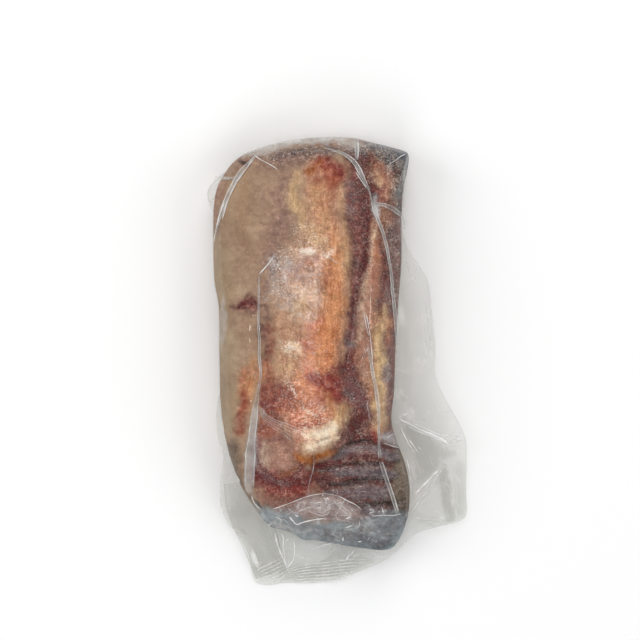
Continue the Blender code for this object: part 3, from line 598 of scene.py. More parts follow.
# Where its skin is roughened by the frost under it
GRAIN_SPOTS = (
    (1.0, ((-18, 84, 14), (-20, 50, 20), (-20, 20, 22), (-22, -10, 24), (-22, -34, 20))),
    (0.7, ((14, 124, 10), (14, 90, 8), (11, 40, 6), (8, 0, 8), (14, -40, 8), (14, -74, 16))),
    (0.6, ((-50, 130, 8), (-20, 134, 8), (20, 134, 10), (38, 120, 10), (38, 70, 6))),
)

# Pleats: height of their two raised edges, how white they are (partly whitened film, partly painted
# highlight), and the route of X, Y and width
PLEATS = {
    "front_left": (0.9, 0.55, (
        (-52, 131, 1.4), (-57, 125, 2.4), (-63, 118, 2.8), (-68, 109, 3.2), (-72, 100, 2.8),
        (-75.4, 90, 2), (-78, 79, 1.2),
    )),
    "front_left_link": (0.5, 0.45, ((-78, 117, 1.6), (-72, 116.4, 1.6), (-66, 116.6, 1.2), (-61, 119.4, 1))),
    "left": (0.6, 0.5, (
        (-49.6, 55, 0.9), (-50.2, 40, 1.1), (-50, 20, 1.3), (-49.4, 0, 1.6), (-48.8, -13, 1.4),
    )),
    "left_flat": (0.8, 0.3, (
        (-49.2, -13, 1.4), (-51, -22, 2.4), (-52.4, -31, 3.4), (-54, -44, 4.6), (-55.4, -60, 6.2),
        (-56.4, -80, 6.4),
    )),
    "front_right": (0.9, 0.5, (
        (-10, 136, 0.7), (-2, 133.6, 1), (6, 130.6, 2.2), (12.6, 123.4, 2.8), (17, 115, 2.2),
        (20, 108.6, 1), (21.6, 102, 1), (23.4, 96.6, 2.8), (26.6, 87, 2.2), (30, 77, 1.8), (33, 62, 1.7),
        (35, 44, 1.9), (36.8, 26, 2.1), (37.8, 10, 1.3),
    )),
    "front_right_link": (0.7, 0.4, (
        (23.6, 99.8, 2.2), (30, 98.8, 2.4), (36, 96, 2.8), (41, 91.6, 2.4), (42.4, 84, 1.6),
    )),
    "front_top": (0.6, 0.45, ((11, 141, 2), (12, 134.6, 1.8), (11.4, 127, 1))),
    "right_edge": (0.5, 0.35, ((43, 126, 1), (42.2, 112, 1.2), (41.8, 98, 1.4))),
    "right_low": (0.6, 0.5, (
        (19, 10, 1), (22, -6, 1.8), (24.4, -20, 2.2), (26, -34, 1.8), (26.2, -50, 1.6), (26.8, -62, 1.8),
    )),
    "right_end": (0.7, 0.5, ((27.4, -64, 2), (31, -75, 2.2), (35, -86, 2.6), (38.6, -99, 2.2))),
}
PLEAT_PROFILE = ((-1.0, 0.0), (-0.86, 1.0), (-0.66, 0.35), (0.0, 0.3), (0.66, 0.35), (0.86, 1.0), (1.0, 0.0))
PLEAT_WHITE = (0.4, 1.1, 0.3, 0.2, 0.3, 1.1, 0.4)  # how white the profile's points are; the raised edges get the most, a painted highlight
PLEAT_SPACING = 1.0
PLEAT_SINK = 0.15
PLEAT_WANDER = 0.25
PLEAT_TAPER = 4.0  # length over which a pleat's ends rise
PLEAT_END_WHITE = 0.3  # how white the ends are, as a share of the whole
PLEAT_WIDTHS = (0.8, 0.4)  # least share of the width, and what noise adds to it
PLEAT_WHITENESS = (0.55, 0.9)  # the same for the whiteness

# Strands: half width, how white they are (partly creased film, partly a painted highlight along the crease),
# and the route of X and Y
TONGUE_STRANDS = (
    (0.35, 0.55, ((-53, 131), (-49, 128), (-44, 125.4), (-38, 121.6))),
    (0.40, 0.70, ((-40, 67), (-44, 61.4), (-49.6, 55))),
    (0.30, 0.50, ((-54, 129), (-60, 119.6), (-65.6, 111), (-70, 101), (-73.4, 90))),
    (0.35, 0.75, ((-79, 75), (-77.4, 84), (-75, 93), (-72, 101))),
    (0.30, 0.50, ((11.4, 120), (15, 114.6), (18.6, 109.4))),
    (0.30, 0.50, ((13, 140), (13.4, 134), (12.6, 128))),
    (0.30, 0.50, ((43.6, 132), (40, 130), (36.6, 127.4), (33, 125.4))),
    (0.30, 0.45, ((16.4, 31), (18, 23), (19.6, 16))),
    (0.30, 0.45, ((18, 30), (20, 20), (21.4, 8), (22.4, -4))),
    (0.30, 0.45, ((28.6, -64), (32.4, -76), (36.4, -88), (38.4, -96))),
    (0.20, 0.16, ((-15, -58), (-15.4, -68), (-18, -78), (-19, -86))),
    (0.22, 0.60, (
        (-41, -94.6), (-30, -90.6), (-20, -86.6), (-10, -84.6), (0, -86), (6, -89), (12, -92), (15, -95),
    )),
    (0.35, 0.75, ((-31, -99.6), (-28.6, -102), (-26, -104.4), (-22, -103), (-15, -101.4), (-8, -100.4))),
    (0.90, 0.80, ((-27, -98.4), (-25, -99.4))),
    (0.25, 0.45, ((-31, -98), (-28, -95))),
    (0.25, 0.40, ((-25, -96.4), (-19, -93.6), (-14, -92.6))),
    (0.25, 0.45, ((-19, -95.4), (-14, -97.6), (-8, -99))),
    (0.28, 0.45, ((-17, -92), (-13, -90.4), (-8, -89.6))),
    (0.80, 0.70, ((5.4, -100.6), (8.4, -99.4))),
    (0.45, 0.60, ((-8.4, -101.4), (-6.8, -100.4))),
    (0.35, 0.60, ((4.4, -106.8), (7, -106), (10, -104.6))),
    (0.55, 0.70, ((3.2, -115.4), (3.8, -112.6))),
    (0.50, 0.60, ((12.8, -115.8), (15.6, -115.2))),
    (0.40, 0.50, ((19, -114.6), (20.6, -112.6))),
    (0.30, 0.40, ((13, -110.6), (15.4, -109.6))),
    (0.35, 0.50, ((28, -93), (30, -99))),
    (0.30, 0.50, ((22, -99), (29, -98.4), (35, -98.6), (41, -97.6))),
    (0.55, 0.70, ((-45, -105.8), (-42.6, -104))),
    (0.30, 0.40, ((-40, -99.6), (-36, -101.6), (-37, -104.4))),
    (0.30, 0.40, ((-55, -86), (-53, -91), (-49, -95))),
    (0.22, 0.5, ((-6, 66), (-3, 63.6), (0.6, 61.6))),
    (0.30, 0.50, ((29, -52), (34, -54), (40, -55.8))),
    (0.25, 0.40, ((31, -49), (35, -47), (38, -49))),
    (0.30, 0.50, ((-73, -44), (-70.6, -56), (-66, -70), (-62, -78))),
)
BUNDLE = ((-49, -30), (-45, -36.6), (-39, -40.4), (-32, -43.6), (-26, -47.4))  # curved crease beside the lobe
BUNDLE_LINES = 5
BUNDLE_SPREAD = 1.4
BUNDLE_SPACING = 2.0
BUNDLE_WIDENING = (0.35, 1.6)  # share of the spread at the first end and at the last
BUNDLE_STRAND = (0.16, 0.26)  # half width and whiteness
# Boxes where the film is crumpled: lower left corner, upper right corner and count of creases
CRUMPLED_BOXES = (
    ((-31, -101), (6, -90), 18),
    ((-8, -108), (24, -100), 3),
    ((-4, -117), (22, -112), 3),
    ((-46, -107), (-30, -100), 3),
)
CRUMPLE_HEADING = (0.15, 0.5)  # a crease's mean heading in radians, and how much it varies
CRUMPLE_TURN = 0.35  # how much the heading of its parts varies
CRUMPLE_PARTS = (1, 3)  # least number of parts, and one more than the most
CRUMPLE_LENGTHS = (2.0, 4.6)  # of a part
CRUMPLE_HALF_WIDTHS = (0.10, 0.24)
# white of the crumple creases: painted highlights
CRUMPLE_WHITENESS = (0.16, 0.65)
FLAP_STRANDS = (
    (0.72, 0.90, ((40, -38), (46, -40.8), (52, -44.2), (60, -47.4), (66, -50.2), (71, -53.8))),
    (0.40, 0.80, ((44, -41.4), (50, -44.8), (56, -47.4), (62, -49.4), (68, -52.6))),
    (0.42, 0.81, ((49, -40.8), (54, -43), (60, -45.8), (66, -48.2), (72, -48.4), (79, -47.4))),
    (0.72, 0.85, ((71.4, -54), (75, -51.8), (81, -50.2))),
    (0.35, 0.75, ((40.6, -35), (43, -34.8), (45.8, -33.6))),
    (0.52, 0.81, ((40, -42.6), (43, -49), (47, -56), (50.6, -62))),
    (0.50, 0.90, ((46, -51), (49.4, -56), (53, -61))),
    (0.42, 0.77, ((51.8, -55.6), (54, -58))),
    (0.40, 0.80, ((43.4, -62), (45, -66), (46.4, -74), (47, -79))),
    (0.35, 0.70, ((47.2, -68), (48, -72), (49.4, -75.6))),
    (0.68, 0.90, ((49.4, -85.4), (54, -81.2), (58, -77.4), (61.4, -73.6), (65.2, -70.6))),
    (0.84, 0.85, ((62.4, -73), (65, -71))),
    (0.50, 0.40, ((64.8, -70.6), (67, -68.2), (70, -66))),
    (0.45, 0.80, ((46.8, -78), (47, -83), (48.6, -86.4))),
    (0.70, 0.38, ((48, -96.6), (52, -90.6), (57, -85), (61, -80), (64, -74), (70, -67))),
    (0.30, 0.45, ((50, -101), (56, -102.4), (64, -102.4), (72, -103.4))),
    (0.30, 0.40, ((58, -104.6), (66, -105.4), (74, -104.8), (80, -103))),
    (0.30, 0.35, ((60, -94), (63, -97), (66, -100.6))),
    (0.30, 0.30, ((74.6, -66), (75.4, -80), (76, -95), (77, -103))),
    (0.35, 0.30, ((66, -76), (70, -84), (72, -94), (71, -104))),
    (0.35, 0.40, ((57, 38), (59, 20), (61, 6))),
    (0.35, 0.50, ((44, 64), (46.6, 56), (50, 48))),
    (0.63, 0.85, ((-40, -110.6), (-38.8, -117), (-36.6, -123.6), (-34, -129.4), (-32.6, -133.6))),
    (0.49, 0.81, ((-36.4, -110.8), (-34.6, -114), (-34.8, -119.4), (-34, -125), (-33.4, -129))),
    (0.40, 0.85, ((-33.8, -117.6), (-32.6, -115.8), (-31, -114))),
    (0.63, 0.81, ((-27.8, -115.6), (-27.4, -122), (-28, -127.6), (-30, -130.8), (-32.2, -133.6))),
    (0.50, 0.80, ((-15, -121), (-11, -119.6), (-7, -118), (-3, -117.4))),
    (0.50, 0.80, ((5.4, -129), (7.6, -125.6), (11.4, -121.8))),
    (0.35, 0.60, ((9.4, -128), (11.4, -125.6), (14, -123.6))),
    (0.45, 0.75, ((24.4, -122.4), (26.4, -125.6), (29.4, -127))),
    (0.40, 0.35, ((-15, -130.4), (-9, -128), (-4, -124), (-1, -119.6))),
    (0.30, 0.35, ((13, -125.4), (19, -125), (25, -126))),
    (1.80, 0.45, ((-55, -122), (-53, -128), (-51, -133.6))),
    (0.35, 0.35, ((-68, -108), (-65, -109.4), (-61, -111.6))),
    (0.35, 0.30, ((-44, -108), (-41, -115), (-38.4, -122), (-35.4, -129), (-31.6, -136.8), (-36.6, -143))),
)
# The seal's ribs run between a first and a last route; count of ribs, half width and whiteness, a painted
# highlight on each rib
SEALS = {
    "end_seal": (
        ((-31, -134.4), (-20, -131.8), (-10, -130.6), (0, -129.2), (10, -128.2), (20, -128.4)),
        ((-29, -143.2), (-20, -143), (-12, -142.8), (-6, -142.4), (0, -141.4), (6, -139.6)),
        7, 0.44, 0.5,
    ),
    "tail_seal": (
        ((-51.6, -135), (-42, -130.4), (-36, -127.6)),
        ((-44, -143.2), (-38, -141.4), (-33, -138.2)),
        6, 0.44, 0.5,
    ),
}
FILM_TINT = (253, 253, 252)
LOOSE_TINT = (249, 249, 248)
LAYERED_AND_SHADE_TINT = (239, 239, 237)  # where the film lies in several layers, and painted shade on its folds
# white of hazy film, also used for painted highlights on creases, strands, pleats and seal ribs
HAZE_AND_HIGHLIGHT_WHITE = (250, 249, 248)
FILMS = {
    # name: tint, roughness, size of its fine wrinkles and depth of its relief in millimetres
    "tight_film": (FILM_TINT, 0.08, 0.4, 0.12),
    "loose_film": (LOOSE_TINT, 0.20, 1.4, 0.3),
    "creased_film": (LOOSE_TINT, 0.12, 0.9, 0.1),
}
BROAD_WRINKLE = 9  # times the size of the fine wrinkles
FACETS = ((7.0, 0.06, 0.30), (3.4, 0.08, 0.14))  # size, width of the edges as a share of it, whiteness of the edges' painted highlights
FILM_IOR = 1.45
MOST_MIRRORED = 0.045  # share of light that the film mirrors at most, on the steep flanks
FILM_GRAIN = 0.1  # how strongly the finest grain shows on smooth film
LOOSE_GRAIN = 0.2
UNDERSIDE_GRAIN = 0.15  # the same for the film under the tongue
UNDERSIDE_HAZE = 0.02
HAZE_START = 0.3  # rise at which haze has its full strength
END_CRESTS = (0.9, 0.99)  # height of a crease, up to 1, at which it starts to be white and is fully white: a painted highlight on the crests
END_CREST_HIGHLIGHT = 0.22
WHITE_CRESTS_END = (-88.0, -94.0)  # Y where the root end's crests start to be white and are fully white
FLAP_ROOT_SHARE = 0.95  # a flap starts this share of the way to the tongue's outline
FLAP_LEAST_WIDTH = 3.0
FLAP_RIM = 5.0  # width over which a flap grows to its full thickness
FLAP_RIM_SHARE = 0.15  # share of its thickness at the very rim
FLAP_HAZE = 0.03
FLAP_CRESTS = (0.9, 0.98)  # as END_CRESTS, for the flaps' wrinkles
FLAP_CREST_HIGHLIGHT = 0.10
FLAP_RIM_LINE = (0.06, 0.8)  # how hazy the rim is, and over which width
FLAP_RIM_SHADE = (0.5, 0.7)  # the same for the painted shade line along the rim: how dark it is, and over which width
TAIL_SPACING = 1.2
TAIL_COLUMNS = 22
TAIL_RIM = 2.0
TAIL_RIM_SHARE = 0.3
TAIL_HAZE = 0.05
# dark line painted along the tail's rim: painted shade
TAIL_RIM_SHADE = (0.8, 0.8)
SEAL_SPACING = 4.0
STRAND_SPACING = 0.8
STRAND_TAPER = 2.4  # length over which a strand grows from its tips
STRAND_TIP = 0.25  # share of the girth at a tip
STRAND_LIFT = 0.3  # how far a strand's middle lies above the film, as a share of its half width
STRAND_GIRTHS = (0.6, 0.8)  # least share of the girth, and what noise adds to it
STRAND_WHITENESS = (0.5, 0.8)
STRAND_SIDES = 6
STRAND_FLATNESS = 0.6
GRAIN_SIZE = (0.08, 0.20)  # radius of the ice grains
GRAIN_COUNT_PER_SQUARE = 0.26  # of them on a square millimetre where they lie thickest


def smoothstep(share):
    share = np.clip(share, 0, 1)
    return share * share * (3 - 2 * share)


def eased(value, start, full):
    """0 at start and 1 at full, smoothly, whichever of the two is larger."""
    return smoothstep((value - start) / (full - start))


def bell(distance, width):
    """1 at no distance, falling off over about width."""
    return np.exp(-((distance / width) ** 2))


def rim_line(to_rim, strength, width):
    """A line along a rim, for each point of a grid."""
    return strength * bell(to_rim, width).ravel()


def smooth_line(points, closed=False, steps=8):
    """Points along a Catmull-Rom curve through points of any number of columns."""
    points = np.array(points, float)
    if closed:
        padded = np.vstack([points[-1:], points, points[:2]])
    else:
        padded = np.vstack([2 * points[0] - points[1], points, 2 * points[-1] - points[-2]])
    share = np.linspace(0, 1, steps, endpoint=False)[:, None]
    spans = []
    for before, start, end, after in zip(padded, padded[1:], padded[2:], padded[3:]):
        bend = 2 * before - 5 * start + 4 * end - after
        twist = 3 * start - before - 3 * end + after
        spans.append(start + 0.5 * ((end - before) * share + bend * share**2 + twist * share**3))
    if not closed:
        spans.append(points[-1:])
    return np.vstack(spans)


def even_line(route, spacing):
    """A smooth route resampled at even distances, with the route's own columns."""
    line = smooth_line(route)
    lengths = np.concatenate([[0], np.cumsum(np.linalg.norm(np.diff(line[:, :2], axis=0), axis=1))])
    stops = np.linspace(0, lengths[-1], max(3, round(lengths[-1] / spacing) + 1))
    return np.column_stack([np.interp(stops, lengths, column) for column in line.T])


def sideways(line):
    """Unit steps to the left of a line, one for each of its points."""
    along = np.gradient(line[:, :2], axis=0)
    along /= np.linalg.norm(along, axis=1)[:, None]
    return np.column_stack([-along[:, 1], along[:, 0]])


def from_ends(line, spacing):
    """How far each point of an even line is from the nearer end."""
    number = np.arange(len(line))
    return np.minimum(number, number[::-1]) * spacing


def noise(places, size, seed):
    """Smooth noise from 0 to 1 whose blobs are size millimetres apart."""
    table = np.random.default_rng(seed).random((NOISE_CELLS, NOISE_CELLS))
    grid = places / size
    cell = np.floor(grid).astype(int)
    across, up = smoothstep(grid - cell).T
    column, row = cell.T % NOISE_CELLS
    next_column, next_row = (column + 1) % NOISE_CELLS, (row + 1) % NOISE_CELLS
    low = table[column, row] * (1 - across) + table[next_column, row] * across
    high = table[column, next_row] * (1 - across) + table[next_column, next_row] * across
    return low * (1 - up) + high * up


def uneven(places, size, seed, least, swing):
    """A least value and what noise adds to it."""
    return least + swing * noise(places, size, seed)


def strayed(places, reach, seed):
    """Places moved by noise of two sizes, at most about reach millimetres."""
    step = np.zeros_like(places)
    for number, (size, share) in enumerate(STRAYS):
        pair = [noise(places, size, seed + 2 * number), noise(places, size, seed + 2 * number + 1)]
        step += share * (np.column_stack(pair) - 0.5)
    return places + reach * step


def creases(places, size, seed):
    """Sharp ridges from 0 to 1, as crumpled film has."""
    return 1 - np.abs(2 * noise(strayed(places, CREASE_STRAY * size, seed + 5), size, seed) - 1)


def wrinkles(places, table):
    """Height of wrinkles, from a table of size, height and seed."""
    return sum(height * (creases(places, size, seed) - WRINKLE_FOOT) for size, height, seed in table)


def from_centre(places):
    """Angles and distances of places, seen from the tongue's middle."""
    away = places[:, :2] - CENTRE
    return np.arctan2(away[:, 1], away[:, 0]), np.hypot(away[:, 0], away[:, 1])


EDGE_ANGLES, EDGE_RADII = from_centre(smooth_line(TONGUE_EDGE, closed=True))


def tongue_radius(angles):
    """How far the tongue's outline lies from its middle."""
    return np.interp(angles, EDGE_ANGLES, EDGE_RADII, period=2 * math.pi)


def levels(y, table):
    """Heights at y, from a table of Y and height."""
    stations, heights = zip(*sorted(table))
    return np.interp(y, stations, heights)


def depth_inside(places, route, fade):
    """How deep places lie inside a route of X, Y and half width; negative outside, to about fade away."""
    line = smooth_line(route, steps=6)
    reach = line[:, 2].max() + fade
    near = np.all((places > line[:, :2].min(0) - reach) & (places < line[:, :2].max(0) + reach), axis=1)
    close = places[near]
    best = np.full(len(close), -np.inf)
    for start, end in zip(line, line[1:]):
        along = end[:2] - start[:2]
        share = np.clip((close - start[:2]) @ along / max(along @ along, 1e-9), 0, 1)
        gap = np.linalg.norm(close - start[:2] - share[:, None] * along, axis=1)
        best = np.maximum(best, start[2] + (end[2] - start[2]) * share - gap)
    deepest = np.full(len(places), -np.inf)
    deepest[near] = best
    return deepest


def coverage(places, spots, fade, stray=0.0, seed=0):
    """How much of each place some spots cover, from 0 to 1, or to a spot's strength if that is above 1."""
    moved = strayed(places, stray, seed)
    cover = np.zeros(len(places))
    for strength, route in spots:
        depth = depth_inside(moved, route, fade)
        cover = np.maximum(cover, strength * smoothstep(0.5 + depth / fade))
    return cover


def raised_routes(places, routes):
    """Height of bell-shaped ridges and grooves, from a table of (route, half width, height)."""
    total = np.zeros(len(places))
    for route, half_width, height in routes.values():
        line = smooth_line(route, steps=6)
        nearest = np.full(len(places), np.inf)
        for start, end in zip(line, line[1:]):
            along = end - start
            share = np.clip((places - start) @ along / (along @ along), 0, 1)
            nearest = np.minimum(nearest, np.linalg.norm(places - start - share[:, None] * along, axis=1))
        total += height * bell(nearest, half_width)
    return total


def crumple_relief(places):
    """The film's crumples over the root end, from two crossing waves."""
    x, y = places.T
    full, start = CRUMPLE_AREA
    (along_x, along_y), (across_x, across_y) = CRUMPLE_WAVES
    first = np.sin(x / along_x + y / along_y)
    second = np.cos(y / across_y - x / across_x)
    return CRUMPLE_HEIGHT * eased(y, start, full) * first * second


def top_level(places, rise, crumpled=True):
    """Level of the top, where rise is 0 at the seam and 1 on the flat of the crown."""
    crest = levels(places[:, 1], CREST_LEVELS)
    relief = raised_routes(places, RELIEF)
    if crumpled:
        relief = relief + crumple_relief(places)
    return SEAM_HEIGHT + rise * (crest - SEAM_HEIGHT) + smoothstep(rise / RELIEF_START) * relief


def film_fine(places):
    """The film's small wrinkles on the tongue, strongest over the root end."""
    end = eased(places[:, 1], *WRINKLED_END)
    size, height, seed = TIGHT_WRINKLES
    tight = (1 - end) * height * (creases(places, size, seed) - TIGHT_SINK)
    return end * wrinkles(places, END_WRINKLES) + tight


def film_surface(places, rise):
    """Level of the film that clings to the tongue."""
    return top_level(places, rise) + smoothstep(rise / FINE_START) * film_fine(places)


def film_level(places):
    """Level of the film anywhere on the tongue's top."""
    angles, distances = from_centre(places)
    share = np.clip(distances / tongue_radius(angles), 0, 1)
    return film_surface(places, (1 - share**ROUNDING_TOP) ** (1 / ROUNDING_TOP))


def meat_surface(places, rise):
    """Level of the meat: below the film, with lumps and fibres, and lower at the root end."""
    drop = END_DROP * eased(places[:, 1], *END_DROP_FROM)
    lumps = sum(height * (noise(places, size, seed) - 0.5) for size, height, seed in MEAT_LUMPS)
    size, height, seed = MEAT_FIBRES
    fibres = height * (noise(places * FIBRE_STRETCH, size, seed) - 0.5)
    fine = smoothstep(rise / FINE_START) * (lumps + fibres - drop)
    return top_level(places, rise, crumpled=False) - FILM_GAP - MEAT_SINK + fine


def ripple(places):
    """The slack film's low waves."""
    x, y = places.T
    return sum(height * np.sin(x / along_x + y / along_y) for height, along_x, along_y in RIPPLES)


def flap_level(places, edge_levels=WIDE_FLAP_LEVELS):
    """Level of a flap that leaves the tongue at the seam and sinks towards its edge."""
    angles, distances = from_centre(places)
    out = distances - tongue_radius(angles)
    edge = levels(places[:, 1], edge_levels)
    root = levels(places[:, 1], FLAP_ROOT_LEVELS)
    waves = ripple(places) + raised_routes(places, FLAP_CREASES) + wrinkles(places, FLAP_WRINKLES)
    slack = smoothstep(out / FLAP_SLACK_START) * waves
    z = root + (edge - root) * smoothstep(out / FLAP_SINK) + slack
    return np.maximum(z, FLAP_CLEARANCE + FLAP_THICKNESS / 2)


def loose_top(places):
    """Level of the loose film's upper face, also where the tail lies on it."""
    route = [(*place, width / 2) for place, width in zip(TAIL_ROUTE, TAIL_WIDTHS)]
    on_tail = coverage(places, [(1.0, route)], fade=1.0)
    return flap_level(places) + FLAP_THICKNESS / 2 + TAIL_RISE * (on_tail > 0.5)


# ---------------------------------------------------------------- meshes
def new_object(name, mesh):
    made = bpy.data.objects.new(name, mesh)
    bpy.context.scene.collection.objects.link(made)
    return made


def set_numbers(mesh, attributes):
    for key, values in attributes.items():
        stored = mesh.attributes.new(key, "FLOAT", "POINT")
        stored.data.foreach_set("value", np.asarray(values, np.float32))


def new_piece(name, points, faces, attributes):
    """A smooth closed piece from points in millimetres, with numbers stored on its points."""
    mesh = bpy.data.meshes.new(name)
    mesh.from_pydata((points * MM).tolist(), [], faces)
    set_numbers(mesh, attributes)
    mesh.shade_smooth()
    made = new_object(name, mesh)
    shell = bmesh.new()
    shell.from_mesh(mesh)
    bmesh.ops.recalc_face_normals(shell, faces=shell.faces)
    shell.to_mesh(mesh)
    shell.free()
    return made


def grid_faces(rows, columns, wrap=False, offset=0):
    """Quads of a grid of points stored row by row; wrap joins its last column to its first."""
    faces = []
    for row in range(rows - 1):
        for column in range(columns if wrap else columns - 1):
            after = (column + 1) % columns
            here = offset + row * columns
            beyond = here + columns
            faces.append((here + column, here + after, beyond + after, beyond + column))
    return faces


def two_webs(upper, lower):
    """Points and faces of a closed sheet from two grids of places, one above the other."""
    rows, columns = upper.shape[:2]
    count = rows * columns
    faces = grid_faces(rows, columns) + grid_faces(rows, columns, offset=count)
    rim = [(0, column) for column in range(columns)]
    rim += [(row, columns - 1) for row in range(1, rows)]
    rim += [(rows - 1, column) for column in range(columns - 2, -1, -1)]
    rim += [(row, 0) for row in range(rows - 2, 0, -1)]
    rim = [row * columns + column for row, column in rim]
    faces += [(after, here, count + here, count + after) for here, after in zip(rim, rim[1:] + rim[:1])]
    return np.vstack([upper.reshape(-1, 3), lower.reshape(-1, 3)]), faces


def ring_stops(count, power, height):
    """Share of the outline and of the height at even stops down a rounded shoulder."""
    slope = np.linspace(math.pi / 2, 0, FINE_STEPS)
    flat, climb = np.cos(slope), np.sin(slope)
    reach = (flat**power + climb**power) ** (-1 / power)
    share, rise = flat * reach, climb * reach
    steps = np.hypot(np.diff(share) * TYPICAL_RADIUS, np.diff(rise) * height)
    lengths = np.concatenate([[0], np.cumsum(steps)])
    every = np.arange(FINE_STEPS)
    stops = np.interp(np.linspace(0, lengths[-1], count + 1), lengths, every)
    return np.interp(stops, every, share), np.interp(stops, every, rise)


def skin(density, gap, surface):
    """Points, faces and rise of a closed skin round the tongue, gap inside the film's."""
    spokes = round(SPOKES * density)
    angles = np.linspace(0, 2 * math.pi, spokes, endpoint=False)
    radii = tongue_radius(angles) - gap
    top_share, top_rise = ring_stops(round(TOP_RINGS * density), ROUNDING_TOP, TYPICAL_CROWN)
    base_share, base_rise = ring_stops(round(BASE_RINGS * density), ROUNDING_BASE, SEAM_HEIGHT)
    shares = np.concatenate([top_share[1:], base_share[-2:0:-1]])
    rises = np.concatenate([top_rise[1:], -base_rise[-2:0:-1]])
    radius = shares[:, None] * radii
    x = CENTRE[0] + np.cos(angles) * radius
    y = CENTRE[1] + np.sin(angles) * radius
    places = np.column_stack([x.ravel(), y.ravel()])
    rise = np.repeat(rises, spokes)
    base = gap + (SEAM_HEIGHT - gap) * np.maximum(0, 1 + rise / BASE_FLAT_SHARE)
    z = np.where(rise > 0, surface(places, np.maximum(rise, 0)), base)
    crown_level = surface(np.array([CENTRE]), np.ones(1))[0]
    points = np.vstack([np.column_stack([places, z]), [[*CENTRE, crown_level], [*CENTRE, gap]]])
    faces = grid_faces(len(shares), spokes, wrap=True)
    crown, sole = len(points) - 2, len(points) - 1
    last = (len(shares) - 1) * spokes
    for spoke in range(spokes):
        after = (spoke + 1) % spokes
        faces.append((crown, spoke, after))
        faces.append((sole, last + after, last + spoke))
    return points, faces, np.concatenate([rise, [1.0, -1.0]])


def tongue(shift):
    """The frozen meat, with how much of each tissue shows at each of its points."""
    points, faces, _ = skin(1.0, FILM_GAP, meat_surface)
    places, height = points[:, :2], points[:, 2]
    bare = FLANK_SKIN * (1 + noise(places, FLANK_NOISE, seed=90))
    side = smoothstep((height - bare) / FLANK_FADE)
    side = np.maximum(side, eased(places[:, 1], *CUT_END) * smoothstep(height / CUT_END_FOOT))
    numbers = {}
    for number, (tissue, spots) in enumerate(SPOTS.items()):
        *_, fade, stray, _, _ = TISSUES[tissue]
        numbers[tissue] = side * coverage(places, spots, fade, stray, seed=100 + 10 * number)
    numbers["worm"] = np.max([share * numbers[tissue] for tissue, share in WORM_SHARE.items()], axis=0)
    rough = np.full(len(places), SKIN_ROUGHNESS)
    for tissue, (*_, own) in TISSUES.items():
        rough += (own - rough) * numbers[tissue]
    numbers["rough"] = rough
    numbers["frost_and_glint"] = side * coverage(places, FROST_AND_GLINT_SPOTS, fade=6.0, stray=2.0, seed=500)
    numbers["sole"] = 1 - eased(height, *PAPILLAE_HEIGHTS)
    return new_piece("tongue", points + shift, faces, numbers)


def film_wrap(shift):
    """The film on the tongue, as one closed skin."""
    points, faces, rise = skin(WRAP_SHARE, 0.0, film_surface)
    places = points[:, :2]
    upper = rise > 0
    rough = coverage(places, GRAIN_SPOTS, fade=10.0, stray=4.0, seed=600)
    crumpled = coverage(places, CRUMPLED_SPOTS, fade=5.0, stray=2.0, seed=650)
    haze_and_highlight = coverage(places, HAZE_SPOTS, fade=3.0, stray=2.0, seed=700)
    size, _, seed = END_WRINKLES[0]
    # painted highlights along the tops of the root end's wrinkles
    crests = eased(creases(places, size, seed), *END_CRESTS) * eased(places[:, 1], *WHITE_CRESTS_END)
    haze_and_highlight = np.maximum(haze_and_highlight, END_CREST_HIGHLIGHT * crests)
    numbers = {
        "grain": np.where(upper, FILM_GRAIN + (1 - FILM_GRAIN) * rough, UNDERSIDE_GRAIN),
        "haze_and_highlight": np.where(upper, haze_and_highlight * smoothstep(rise / HAZE_START), UNDERSIDE_HAZE),
        "crumpled": np.where(upper, crumpled, 0),
    }
    return new_piece("film_wrap", points + shift, faces, numbers)


def sheet_webs(places, z, rim_share, to_rim, full, shift):
    """Loose film round a level, thinner at its rim, from there to where it has its full thickness."""
    thickness = FLAP_THICKNESS * (rim_share + (1 - rim_share) * smoothstep(to_rim / full))
    upper = np.dstack([places, z + thickness / 2]) + shift
    lower = np.dstack([places, z - thickness / 2]) + shift
    return two_webs(upper, lower)


def on_both_webs(numbers):
    """Numbers of the upper web's points, repeated for the lower web's."""
    return {key: np.tile(values, 2) for key, values in numbers.items()}


def film_flap(name, edge, edge_levels, shift, steps):
    """Loose film that leaves the tongue at its seam, from the outline of its rim."""
    rim = smooth_line(edge, steps=10)
    angles, reach = from_centre(rim)
    inside = np.minimum(tongue_radius(angles) * FLAP_ROOT_SHARE, reach - FLAP_LEAST_WIDTH)
    radius = inside[:, None] + (reach - inside)[:, None] * np.linspace(0, 1, steps)
    x = CENTRE[0] + np.cos(angles)[:, None] * radius
    y = CENTRE[1] + np.sin(angles)[:, None] * radius
    places = np.dstack([x, y])
    flat = places.reshape(-1, 2)
    z = flap_level(flat, edge_levels).reshape(x.shape)
    to_rim = reach[:, None] - radius
    points, faces = sheet_webs(places, z, FLAP_RIM_SHARE, to_rim, FLAP_RIM, shift)
    size, _, seed = FLAP_WRINKLES[0]
    # painted highlights along the tops of the flaps' wrinkles
    crests = eased(creases(flat, size, seed), *FLAP_CRESTS)
    layers_and_shade = coverage(flat, FOLD_AND_SHADE_SPOTS, fade=3.0, stray=2.0, seed=950)
    numbers = {
        "haze_and_highlight": FLAP_HAZE + rim_line(to_rim, *FLAP_RIM_LINE) + FLAP_CREST_HIGHLIGHT * crests,
        "layered_and_shaded": np.maximum(layers_and_shade, rim_line(to_rim, *FLAP_RIM_SHADE)),
        "grain": np.full(len(flat), LOOSE_GRAIN),
    }
    return new_piece(name, points, faces, on_both_webs(numbers))


